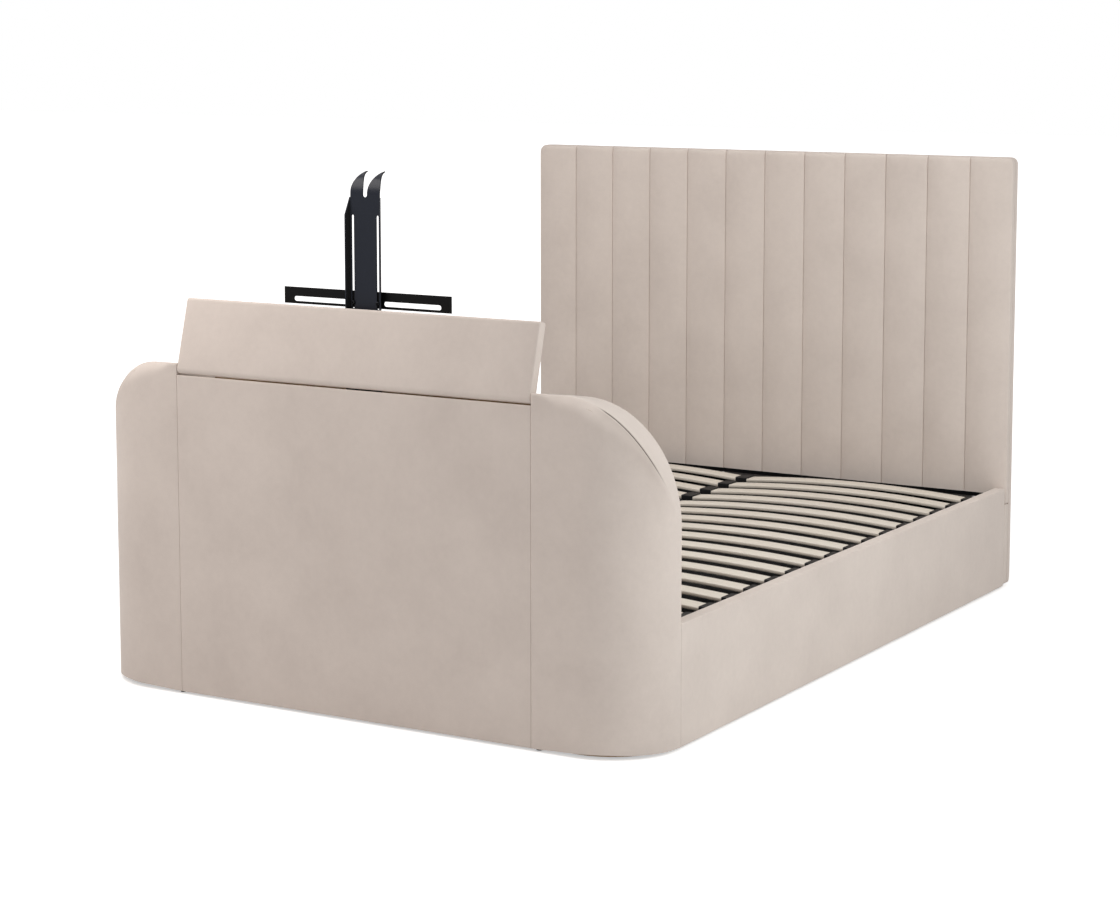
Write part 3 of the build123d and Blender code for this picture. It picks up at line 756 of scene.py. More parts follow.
@dataclass(frozen=True)
class RawBoard(Finish):
    """Pressed chipboard with its flakes."""

    name: ClassVar[str] = "raw_board"
    slot: ClassVar[str] = "board"
    light: Colour = (0.50, 0.37, 0.24, 1.0)
    dark: Colour = (0.30, 0.20, 0.12, 1.0)

    def write(self, recipe: Recipe) -> None:
        """Write the board.

        Args:
            recipe: The material's recipe.
        """
        flakes = recipe.add("TexVoronoi", {"Vector": recipe.where, "Scale": 260.0}).outputs["Color"]
        chip = recipe.add("SeparateXYZ", {0: flakes}).outputs[0]
        tone = recipe.mix(0.5, chip, recipe.effect(Effects.mottle, Patches=12.0, Grain=500.0, Share=0.5)["Tone"])
        edge = recipe.effect(Effects.edges, Radius=0.001)
        recipe.coat({"Base Color": recipe.blend(tone, self.light, self.dark), "Roughness": 0.8,
                     "Normal": recipe.bump(0.3, 0.0004, tone, Normal=edge["Normal"]),
                     "Specular IOR Level": 0.2})


@dataclass(frozen=True)
class Coated(Finish):
    """Hard surface with a fine texture and edges painted slightly lighter, partly as wear and partly as a painted
    highlight, for powder coat and moulded plastic.
    """

    tone: Colour = (0.0025, 0.0026, 0.0032, 1.0)
    # Lighter tone of the edges: partly wear, partly a painted highlight.
    worn: Colour = (0.03, 0.03, 0.034, 1.0)
    rough: tuple[float, float] = (0.42, 0.55)
    shine: float = 0.18
    texture: float = 900.0
    depth: float = 0.0002
    edge: float = 0.0008

    def write(self, recipe: Recipe) -> None:
        """Write the coating.

        Args:
            recipe: The material's recipe.
        """
        skin = recipe.effect(Effects.mottle, Patches=14.0, Grain=self.texture, Share=0.6)
        edge = recipe.effect(Effects.edges, Radius=self.edge)
        # The edges are painted lighter: partly wear, partly a painted highlight.
        recipe.coat({"Base Color": recipe.blend(edge["Mask"], self.tone, self.worn),
                     "Roughness": recipe.span(skin["Tone"], 0.0, 1.0, *self.rough),
                     "Normal": recipe.bump(0.4, self.depth, skin["Height"], Normal=edge["Normal"]),
                     "Specular IOR Level": self.shine})


@dataclass(frozen=True)
class PowderCoat(Coated):
    """Satin black powder coat on steel."""

    name: ClassVar[str] = "black_powder_coat"
    slot: ClassVar[str] = "black_steel"


@dataclass(frozen=True)
class MastLacquer(Coated):
    """Smooth blue-black lacquer on the mast. Faces turned forward, its flat middle, get a blue tone that is partly the
    lacquer's tint and partly a painted reflection; faces turned sideways, its bent edges, get painted shade and a
    duller finish.
    """

    name: ClassVar[str] = "blue_black_lacquer"
    slot: ClassVar[str] = "black_steel"
    # Forward faces: the lacquer's own blue-black tint, lightened by a painted blue reflection.
    web: Colour = (0.014, 0.018, 0.030, 1.0)
    # Sideways faces: painted shade.
    fold: Colour = (0.002, 0.002, 0.003, 1.0)
    shine: float = 0.30
    texture: float = 1600.0
    depth: float = 0.00006

    def write(self, recipe: Recipe) -> None:
        """Write the lacquer.

        Args:
            recipe: The material's recipe.
        """
        super().write(recipe)
        # Painted light: forward faces take the painted blue reflection, sideways faces the painted shade; the sideways
        # faces are also duller.
        sideways_painted_shade = recipe.span(recipe.facing(Axis.X), 0.15, 0.45)
        recipe.coat({"Base Color": recipe.blend(sideways_painted_shade, self.web, self.fold),
                     "Roughness": recipe.span(sideways_painted_shade, 0.0, 1.0, 0.30, 0.62)})


@dataclass(frozen=True)
class BlackPlastic(Coated):
    """Moulded black plastic."""

    name: ClassVar[str] = "black_plastic_finish"
    slot: ClassVar[str] = "black_plastic"
    tone: Colour = (0.009, 0.009, 0.010, 1.0)
    # Lighter tone of the edges: partly wear, partly a painted highlight.
    worn: Colour = (0.03, 0.03, 0.03, 1.0)
    shine: float = 0.3
    rough: tuple[float, float] = (0.45, 0.6)
    texture: float = 1500.0
    depth: float = 0.00012
    edge: float = 0.001


@dataclass(frozen=True)
class DustFelt(Finish):
    """Black felt with its pressed fibres, on the sheets under the slats that are there as painted shade."""

    name: ClassVar[str] = "dust_felt"
    slot: ClassVar[str] = "black_plastic"
    low: Colour = (0.008, 0.008, 0.009, 1.0)
    high: Colour = (0.020, 0.020, 0.021, 1.0)

    def write(self, recipe: Recipe) -> None:
        """Write the cloth.

        Args:
            recipe: The material's recipe.
        """
        felt = recipe.effect(Effects.mottle, Patches=30.0, Grain=700.0, Share=0.5)
        recipe.coat({"Base Color": recipe.blend(felt["Tone"], self.low, self.high), "Roughness": 0.95,
                     "Normal": recipe.bump(0.5, 0.0005, felt["Height"]), "Specular IOR Level": 0.1})


@dataclass(frozen=True)
class Metal(Finish):
    """Bare or plated metal with drawing marks along one axis."""

    tone: Colour = (0.62, 0.62, 0.63, 1.0)
    dull: Colour = (0.42, 0.42, 0.43, 1.0)
    stretch: Point = (400.0, 400.0, 12.0)
    rough: tuple[float, float] = (0.22, 0.42)

    def write(self, recipe: Recipe) -> None:
        """Write the metal.

        Args:
            recipe: The material's recipe.
        """
        marks = recipe.effect(Effects.fibres, Stretch=self.stretch, Waviness=0.5)
        edge = recipe.effect(Effects.edges, Radius=0.0005)
        haze = recipe.effect(Effects.mottle, Patches=40.0, Grain=400.0, Share=0.4)
        recipe.coat({"Base Color": recipe.blend(haze["Tone"], self.tone, self.dull), "Metallic": 1.0,
                     "Roughness": recipe.span(marks["Tone"], 0.0, 1.0, *self.rough),
                     "Normal": recipe.bump(0.2, 0.0001, marks["Height"], Normal=edge["Normal"])})


@dataclass(frozen=True)
class Zinc(Metal):
    """Zinc-plated steel."""

    name: ClassVar[str] = "zinc_plate"
    slot: ClassVar[str] = "zinc_steel"


@dataclass(frozen=True)
class BlackZinc(Metal):
    """Black-passivated zinc on the bolts of the crossbar."""

    name: ClassVar[str] = "black_zinc"
    slot: ClassVar[str] = "zinc_steel"
    tone: Colour = (0.040, 0.041, 0.046, 1.0)
    dull: Colour = (0.018, 0.018, 0.020, 1.0)


@dataclass(frozen=True)
class Aluminium(Metal):
    """Drawn aluminium with a satin anodised skin."""

    name: ClassVar[str] = "satin_aluminium"
    slot: ClassVar[str] = "aluminium"
    tone: Colour = (0.55, 0.56, 0.58, 1.0)
    dull: Colour = (0.46, 0.47, 0.49, 1.0)
    rough: tuple[float, float] = (0.32, 0.46)


@dataclass(frozen=True)
class Bronze(Metal):
    """Sintered bronze."""

    name: ClassVar[str] = "bronze_finish"
    slot: ClassVar[str] = "bronze"
    tone: Colour = (0.55, 0.38, 0.18, 1.0)
    dull: Colour = (0.38, 0.25, 0.12, 1.0)
    stretch: Point = (60.0, 60.0, 60.0)
    rough: tuple[float, float] = (0.4, 0.6)


@dataclass(frozen=True)
class StudioFloor(Finish):
    """Matt white studio floor, which glows more the further it reaches from the bed."""

    name: ClassVar[str] = "studio_floor"
    low: Colour = (0.86, 0.86, 0.86, 1.0)
    high: Colour = (0.9, 0.9, 0.9, 1.0)

    def write(self, recipe: Recipe) -> None:
        """Write the floor.

        Args:
            recipe: The material's recipe.
        """
        patch = recipe.effect(Effects.mottle, Patches=0.8, Grain=20.0, Share=0.2)
        reach = recipe.vector("LENGTH", "Value", recipe.where)
        seen = recipe.add("LightPath").outputs["Is Camera Ray"]
        glow = recipe.mix(seen, recipe.span(reach, 1.5, 9.0, 0.0, 0.33), recipe.span(reach, 1.2, 5.0, 0.50, 0.95))
        recipe.coat({"Base Color": recipe.blend(patch["Tone"], self.low, self.high), "Roughness": 0.9,
                     "Emission Color": recipe.blend(glow, BLACK, WHITE), "Emission Strength": 1.0,
                     "Specular IOR Level": 0.1})


FINISHES: dict[str, Finish] = {
    one.slot: one
    for one in (Velvet(), Birch(), RawBoard(), PowderCoat(), BlackPlastic(), Zinc(), Aluminium(), Bronze())
}


def dress(bench: Bench, finish: Finish, body: Body, replaces: Iterable[str] = ()) -> None:
    """Give a finished mesh its material and its body, and hide the CAD nodes that it stands for.

    Args:
        bench: The finished mesh.
        finish: The finish it gets.
        body: The body it rides on.
        replaces: CAD nodes that it stands for.
    """
    let_go()
    piece = bench.piece
    piece.data.materials.clear()
    piece.data.materials.append(finish.material())
    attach(piece, body.value)
    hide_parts(*replaces)
    LOG.info("%s: %d faces on %s", piece.name, len(piece.data.polygons), body.value)


def upholster(bench: Bench, fill: float, *replaces: str, body: Body = Body.BED) -> None:
    """Dress a padded piece in velvet."""
    dress(bench, FINISHES["velvet"], body, replaces)


@dataclass
class Footboard:
    """The velvet-covered housing at the foot: two rounded wings, the front panel and the back."""

    front: float = -1.124
    depth: float = 0.180
    height: float = 0.829
    slope: float = math.tan(math.radians(8.5))
    half_width: float = 0.800
    seam_x: float = 0.508
    shoulder_wide: tuple[float, float] = (0.212, 0.250)
    shoulder_tall: tuple[float, float] = (0.238, 0.280)
    foot: float = 0.006
    pad: float = 0.012
    lining: float = 0.002
    cheek_x: float = 0.528
    cheek_blend: float = 0.004
    back_pad: float = 0.010
    lid_space: float = 0.0285
    panel_gap: float = 0.0004
    seam_round: float = 0.003
    groove: float = 0.0045
    groove_width: float = 0.0030
    groove_way: Point = (-0.45, 0.35, -0.8)
    # How far the painted shade before the seam reaches.
    nap_reach: float = 0.030
    lean: float = 1.75
    seam_ends: tuple[float, float] = (0.655, 0.792)
    edge_rounds: tuple[tuple[float, float], ...] = (
        (0.508, 0.003), (0.529, 0.003), (0.575, 0.018), (0.655, 0.027), (0.700, 0.025), (0.730, 0.019),
        (0.765, 0.010), (0.800, 0.004))
    wing_depth_cuts: tuple[float, ...] = (0.013, 0.030, 0.06, 0.12, 0.25, 0.45, 0.65, 0.85, 0.97)
    wing_top_cuts: tuple[float, ...] = (0.936, 0.953, 0.967, 0.978, 0.987, 0.9935, 0.9973)
    shoulder_cuts: tuple[float, ...] = (0.56, 0.60, 0.64, 0.675, 0.705, 0.73, 0.75, 0.765, 0.776, 0.783, 0.7865)
    inlet: tuple[Point, Point] = ((-0.345, -0.98, 0.060), (-0.315, -0.90, 0.080))

    @property
    def back(self) -> float:
        """Plane of the back of the footboard."""
        return self.front + self.depth

    @property
    def panel_top(self) -> float:
        """Top of the front panel."""
        return self.height - self.lid_space

    def top(self, x: float, y: float, inset: float = 0.0) -> float:
        """Height of the wing's rounded top, from the tighter front edge to the fuller back.

        Args:
            x: Place across the bed.
            y: Place along it.
            inset: Depth under the velvet.

        Returns:
            The height.
        """
        share = (y - self.front) / self.depth
        wide, tall = (low + (high - low) * share - inset for low, high in (self.shoulder_wide, self.shoulder_tall))
        reach = min(max(abs(x) - (self.half_width - inset - wide), 0.0) / wide, 1.0)
        return self.height - inset - tall * (1 - math.sqrt(1 - reach**2)) - self.slope * (y - self.front)

    def plan(self, share: float) -> tuple[float, float]:
        """A point on the wing's front line seen from above.

        Args:
            share: From 0 at the seam to 1 at the back of the outer side.

        Returns:
            Its x and its y.
        """
        middle = self.half_width - self.depth
        straight = middle - self.seam_x
        run = share * (straight + self.depth * math.pi / 2)
        if run < straight:
            return self.seam_x + run, self.front
        angle = (run - straight) / self.depth
        return middle + self.depth * math.sin(angle), self.back - self.depth * math.cos(angle)

    def rim_radius(self, x: float) -> float:
        """Radius of the padded front top edge.

        Args:
            x: Place across the wing.

        Returns:
            The radius.
        """
        for (low_x, low), (high_x, high) in zip(self.edge_rounds, self.edge_rounds[1:]):
            if x <= high_x:
                return low + (high - low) * max(0.0, (x - low_x) / (high_x - low_x))
        return self.edge_rounds[-1][1]

    def _seam_fade(self, x: float) -> float:
        """Strength of the sewn seam along the front top edge, which fades towards both ends."""
        low, high = self.seam_ends
        return max(0.0, min(1.0, (x - low) / 0.03, (high - x) / 0.02))

    def _wing_point(self, place: Vector) -> Vector:
        """Carry a point of the unit cage to the wing.

        Args:
            place: Its shares of the front line, of the depth and of the height.

        Returns:
            Its place on the wing.
        """
        x, y = self.plan(place.x)
        room = self.back - y
        radius = max(min(self.rim_radius(x), room * 0.6), 1e-6)
        below = (1 - place.z) * (self.top(x, y + radius) - self.foot)
        lean = radius * max(0.0, 1 - below / (self.lean * radius)) ** 2
        y += lean + place.y * (room - lean)
        point = Vector((x, y, self.top(x, y) - below))
        if place.y == 0.0 and place.z == 1.0:
            point += Vector(self.groove_way) * self.groove * self._seam_fade(x)
        return point

    def _from_seam(self, point: Vector) -> tuple[float, float]:
        """Where a point of the wing lies from its sewn seam.

        Args:
            point: The point.

        Returns:
            Its distance from the seam, and the same distance where the point lies on the face before the seam, which
            takes the painted shade; elsewhere infinity.
        """
        x, y, z = point
        front = self.back - math.sqrt(max(self.depth**2 - max(x - self.half_width + self.depth, 0.0) ** 2, 0.0))
        edge = front + self.rim_radius(x) + 0.35 * self.groove
        drop = self.top(x, edge) - 0.8 * self.groove - z
        off = math.hypot(y - edge, drop)
        return off, off if y < edge and drop > -0.001 else math.inf

    def _seam_mark(self, point: Vector) -> float:
        """Painted shade in the groove of the sewn seam, darkest on its line."""
        off = self._from_seam(point)[0] / self.groove_width
        return math.exp(-(off**2)) * self._seam_fade(point.x)

    def _nap_mark(self, point: Vector) -> float:
        """Painted shade on the face just before the seam, fading away from it."""
        return math.exp(-self._from_seam(point)[1] / self.nap_reach) * self._seam_fade(point.x)

    def build_wings(self) -> None:
        """Build both wings as skins with the thickness of their padding."""
        right = Bench.block("wing_right", (0.0, 0.0, 0.0), (1.0, 1.0, 1.0))
        right.cut(Axis.X, [0.006, *[i / 44 for i in range(1, 44)], 0.99])
        right.cut(Axis.Z, [0.004, 0.012, *[i / 24 for i in range(1, 23)], *self.wing_top_cuts])
        right.cut(Axis.Y, self.wing_depth_cuts)
        right.faces(lambda middle, normal: normal.y > 0.9 or normal.z < -0.9).remove_faces()
        right.shape(self._wing_point).weld(0.00005).subdivide(1)
        # Both marks are painted shade: one in the groove of the sewn seam, one on the face just before it.
        right.note("seam", self._seam_mark).note("nap", self._nap_mark)
        right.shape(lambda p: p + Vector((0, -0.0006 * unevenness(p, 0.12, 3.0), 0)) if p.x > 0.512 else p)
        group = right.piece.vertex_groups.new(name="padding")
        thin = self.lining / self.pad
        for point in right.mesh.vertices:
            inner = max(0.0, min(1.0, (point.co.x - self.cheek_x) / self.cheek_blend))
            group.add([point.index], thin + (1 - thin) * inner, "REPLACE")
        right.modify("SOLIDIFY", thickness=self.pad, offset=-1.0, vertex_group="padding", use_even_offset=True)
        right.piece.vertex_groups.clear()
        right.shape(lambda p: Vector((p.x, p.y, max(p.z, self.foot)))).smooth(50)
        left = right.mirrored("wing_left").smooth(50)
        upholster(right, 0.9, "wing_cover_right")
        upholster(left, 0.9, "wing_cover_left")

    def _front_crown(self, p: Vector) -> Vector:
        """Swell the face of the front panel.

        Args:
            p: A point of the panel.

        Returns:
            Its new place.
        """
        if p.y > self.front + 0.002:
            return p
        across, up = p.x / self.seam_x, (p.z - self.foot) / (self.panel_top - self.foot) * 2 - 1
        swell = 0.0012 * (1 - across**4) * (1 - up**4) + 0.0005 * unevenness(p, 0.16, 1.0)
        return p + Vector((0, -swell, 0))

    def build_front(self) -> None:
        """Build the flat padded panel between the wings."""
        half = self.seam_x - self.panel_gap
        bench = Bench.block("front_panel", (-half, self.front, self.foot),
                            (half, self.front + self.pad, self.panel_top))
        bench.points(lambda p: p.z > 0.5 and p.y > self.front + 0.001).move((0, 0, -self.slope * self.pad))
        bench.cut(Axis.X, steps(-half, half, 0.05, self.seam_round))
        bench.cut(Axis.Z, steps(self.foot, self.panel_top - 0.002, 0.05, 0.004))
        bench.cut(Axis.Y, [self.front + 0.003, self.front + 0.009])
        bench.subdivide(2).shape(self._front_crown).smooth(60)
        upholster(bench, 0.95, "footboard_front_pad")

    def build_back(self) -> None:
        """Build the padded back, lower between the wings so that the lid closes over it."""
        edge = self.half_width - self.pad
        step_x = self.seam_x + self.lining
        near = 0.0006
        bench = Bench.block("footboard_back", (-edge, self.back - self.back_pad, 0.0), (edge, self.back, 1.0))
        outer = [step_x + near, step_x + 0.005, self.cheek_x - near, self.cheek_x + near, *self.shoulder_cuts]
        bench.cut(Axis.X, [near - step_x, *steps(near - step_x, step_x - near, 0.06, 0.004), step_x - near,
                           *outer, *[-x for x in outer]])
        bench.cut(Axis.Z, [0.006, *[i / 16 for i in range(1, 16)], 0.988])
        bench.cut(Axis.Y, [self.back - 0.0075, self.back - 0.003])

        def raised(p: Vector) -> Vector:
            """Raise a point of the unit height to the wing's rounded top, or to the lower edge between.

            Args:
                p: The point.

            Returns:
                Its new place.
            """
            if abs(p.x) < step_x:
                top = self.panel_top - self.slope * (p.y - self.front)
            else:
                top = self.top(p.x, p.y, self.lining if abs(p.x) < self.cheek_x else self.pad)
            return Vector((p.x, p.y, self.foot + p.z * (top - self.foot)))

        bench.shape(raised).subdivide(1)
        bench.join(Bench.block("inlet_hole", *self.inlet), Joining.CUT).smooth(50)
        upholster(bench, 0.9, "footboard_back_cover")

    def build(self) -> None:
        """Build every piece of the footboard."""
        self.build_wings()
        self.build_front()
        self.build_back()


@dataclass
class Lid:
    """The padded lid over the television well, rounded along its front and open by 75 degrees."""

    half_length: float = 0.5065
    thickness: float = 0.027
    reach: float = 0.17443
    skin: float = 0.006
    edge_round: float = 0.006
    angle: float = 75.0
    pivot: Point = (0.0, -1.1105, 0.8155)

    def _crown(self, p: Vector) -> Vector:
        """Swell the upper face of the level lid.

        Args:
            p: A point of the lid.

        Returns:
            Its new place.
        """
        _, y, z = self.pivot
        if p.z < z + self.thickness / 2 - 0.003:
            return p
        across = p.x / self.half_length
        along = (p.y - y) / self.reach * 2 - 1
        swell = 0.0022 * (1 - across**6) * max(0.0, 1 - along**4) + 0.0006 * unevenness(p, 0.09, 5.0)
        return p + Vector((0, 0, swell))

    def build(self) -> None:
        """Build the lid level about its pivot, pad it, and turn it open."""
        half = self.thickness / 2
        _, y, z = self.pivot
        bench = Bench.block("lid", (-self.half_length, y - half, z - half),
                            (self.half_length, y + self.reach, z + half))
        bench.edges(lambda a, b: max(a.y, b.y) < y and abs(a.z - b.z) < TOUCH).bevel(half * 0.98, 6)
        bench.edges(lambda a, b: min(a.y, b.y) > y + self.reach - 1e-4 and abs(a.z - b.z) < TOUCH)
        bench.bevel(self.edge_round, 3)
        bench.faces(lambda middle, normal: normal.z < -0.99 and middle.y > y).inset(self.skin)
        bench.extrude((0, 0, self.thickness - self.skin)).soften(0.0028, 2)
        bench.cut(Axis.X, steps(-self.half_length, self.half_length, 0.0165, 0.012))
        bench.cut(Axis.Y, steps(y, y + self.reach, 0.0165, 0.008))
        bench.shape(self._crown).turn(self.angle, Axis.X, self.pivot).smooth(45)
        upholster(bench, 0.85, "lid_cover", body=Body.LID)


@dataclass
class Rails:
    """The padded covers of the two side rails."""

    inner_x: float = 0.768
    board: float = 0.020
    outer_x: float = 0.800
    ends: tuple[float, float] = (-0.9425, 1.0745)
    foot: float = 0.006
    top: float = 0.297
    top_pad: float = 0.006

    @property
    def face_x(self) -> float:
        """Outer face of the rail's board."""
        return self.inner_x + self.board

    def _uneven(self, p: Vector) -> Vector:
        """Make the outer face and the top of the cover a little uneven.

        Args:
            p: A point of the cover.

        Returns:
            Its new place.
        """
        side = 0.0006 * unevenness(p, 0.10, 7.0) if p.x > self.face_x + 0.006 else 0.0
        lift = 0.0005 * unevenness(p, 0.05, 9.0) if p.z > self.top - 0.004 else 0.0
        return p + Vector((side, 0.0, lift))

    def build(self) -> None:
        """Build the right cover as an angle over its board, and mirror it."""
        ledge = self.top - self.top_pad
        bench = Bench.block("rail_right", (self.inner_x, self.ends[0], ledge), (self.outer_x, self.ends[1], self.top))
        bench.cut(Axis.X, [self.face_x])
        bench.faces(lambda middle, normal: normal.z < -0.9 and middle.x > self.face_x)
        bench.extrude((0, 0, self.foot + self.top_pad - self.top))
        bench.cut(Axis.X, [self.inner_x + 0.003, self.face_x + 0.003, self.outer_x - 0.006])
        bench.cut(Axis.Z, [self.foot + 0.004, *steps(self.foot, ledge, 0.05, 0.03), self.top - 0.003])
        bench.cut(Axis.Y, steps(*self.ends, 0.05, 0.004))
        bench.subdivide(2).shape(self._uneven).smooth(60)
        left = bench.mirrored("rail_left").smooth(60)
        upholster(bench, 0.95, "rail_cover_right")
        upholster(left, 0.95, "rail_cover_left")


@dataclass
class Headboard:
    """The headboard: twelve upright padded channels, the pad under them and the cover behind."""

    half_width: float = 0.800
    front: float = 1.076
    pad: float = 0.028
    back: float = 1.124
    lining: float = 0.002
    foot: float = 0.006
    channel_foot: float = 0.250
    top: float = 1.267
    corner: float = 0.020
    foot_corner: float = 0.014
    count: int = 12
    crown: float = 0.009
    crown_shares: tuple[float, ...] = (0.30, 0.58, 0.80, 0.92)
    seam_gap: float = 0.0002
    top_round: float = 0.015
    top_drop: float = 0.006
    corner_cuts: tuple[float, ...] = (0.0015, 0.007, 0.014, 0.020)

    @property
    def pitch(self) -> float:
        """Width of one channel."""
        return 2 * self.half_width / self.count

    def rounded(self, place: Vector) -> Vector:
        """Carry a point of the square outline to the outline with rounded corners.

        Args:
            place: The point.

        Returns:
            Its new place.
        """
        upper = place.z > 0.5
        radius = self.corner if upper else self.foot_corner
        edge, way = (self.top, 1) if upper else (self.foot, -1)
        across = (abs(place.x) - (self.half_width - radius)) / radius
        up = 1 - way * (edge - place.z) / radius
        if across <= 0 or up <= 0:
            return place
        new_across = across * math.sqrt(1 - up * up / 2)
        new_up = up * math.sqrt(1 - across * across / 2)
        x = math.copysign(self.half_width - radius + radius * new_across, place.x)
        return Vector((x, place.y, edge - way * radius * (1 - new_up)))

    def _channel(self, name: str, middle: float) -> Bench:
        """One channel, drawn in at its seams and crowned between them.

        Args:
            name: Name of the piece.
            middle: Its middle line.

        Returns:
            The bench that holds it.
        """
        half = self.pitch / 2
        back = self.front + self.pad
        edge = half - self.seam_gap
        bench = Bench.block(name, (middle - edge, self.front, self.channel_foot), (middle + edge, back, self.top))
        bench.cut(Axis.X, [middle, *[middle + half * share * side for share in self.crown_shares for side in (-1, 1)]])
        bench.cut(Axis.Z, [*steps(self.channel_foot, self.top, 0.034, 0.010), self.top - 0.022])
        bench.cut(Axis.Y, [self.front + 0.009, back - 0.004])

        def crowned(p: Vector) -> Vector:
            """Draw a point back towards the seams and the top.

            Args:
                p: The point.

            Returns:
                Its new place.
            """
            share = min(abs(p.x - middle) / half, 1.0)
            depth = max(0.0, 1 - (p.y - self.front) / self.pad)
            near_top = max(0.0, 1 - (self.top - p.z) / self.top_round)
            p.y += depth * self.crown * share**2.6
            p.y += depth * self.top_drop * near_top**2
            return self.rounded(p)

        bench.shape(crowned).subdivide(2)
        return bench.swell(lambda p: (p.y > back - 0.004 or abs(p.x - middle) > half * 0.975
                                      or p.z < self.channel_foot + 0.004), pressure=2.0, cap=0.004)

    def build_channels(self) -> None:
        """Build the middle channel and one with the corner, and copy them along the board."""
        first = self.pitch / 2 - self.half_width
        right = self._channel(f"channel_{self.count}", -first)
        left = right.mirrored("channel_01")
        plain = self._channel("channel_02", first + self.pitch)
        copies = [plain.copy(f"channel_{i + 1:02d}", (self.pitch * (i - 1), 0, 0)) for i in range(2, self.count - 1)]
        for bench in (left, plain, *copies, right):
            upholster(bench.smooth(60), 0.8, *(["headboard_channels"] if bench is left else []))

    def build_lower_pad(self) -> None:
        """Build the plain pad behind the mattress."""
        side, high = self.half_width, self.channel_foot - 0.001
        bench = Bench.block("headboard_lower", (-side, self.front, self.foot), (side, self.front + self.pad, high))
        bench.cut(Axis.X, [*steps(-side, side, 0.05, 0.006), 0.02 - side, side - 0.02])
        bench.cut(Axis.Z, steps(self.foot, high, 0.05, 0.006))
        bench.cut(Axis.Y, [self.front + 0.006, self.front + 0.022])
        bench.shape(self.rounded).subdivide(2).smooth(60)
        upholster(bench, 0.9, "headboard_lower_pad")

    def build_rear(self) -> None:
        """Build the tight cover round the board's edges and back."""
        side, front = self.half_width, self.front + self.pad
        bench = Bench.block("headboard_rear", (-side, front, self.foot), (side, self.back, self.top))
        bench.cut(Axis.X, [*steps(-side, side, 0.08, 0.05), *[d - side for d in self.corner_cuts],
                           *[side - d for d in self.corner_cuts]])
        bench.cut(Axis.Z, [*steps(self.foot, self.top, 0.08, 0.05), self.foot + 0.0015, self.foot + 0.008,
                           *[self.top - d for d in self.corner_cuts]])
        bench.cut(Axis.Y, [front + 0.0015, self.back - 0.0025])
        bench.shape(self.rounded)
        bench.faces(lambda middle, normal: middle.y < front + 0.0005).remove_faces()
        bench.subdivide(1).modify("SOLIDIFY", thickness=self.lining, offset=-1.0).smooth(60)
        upholster(bench, 0.95, "headboard_rear_cover")

    def build(self) -> None:
        """Build every piece of the headboard."""
        self.build_channels()
        self.build_lower_pad()
        self.build_rear()


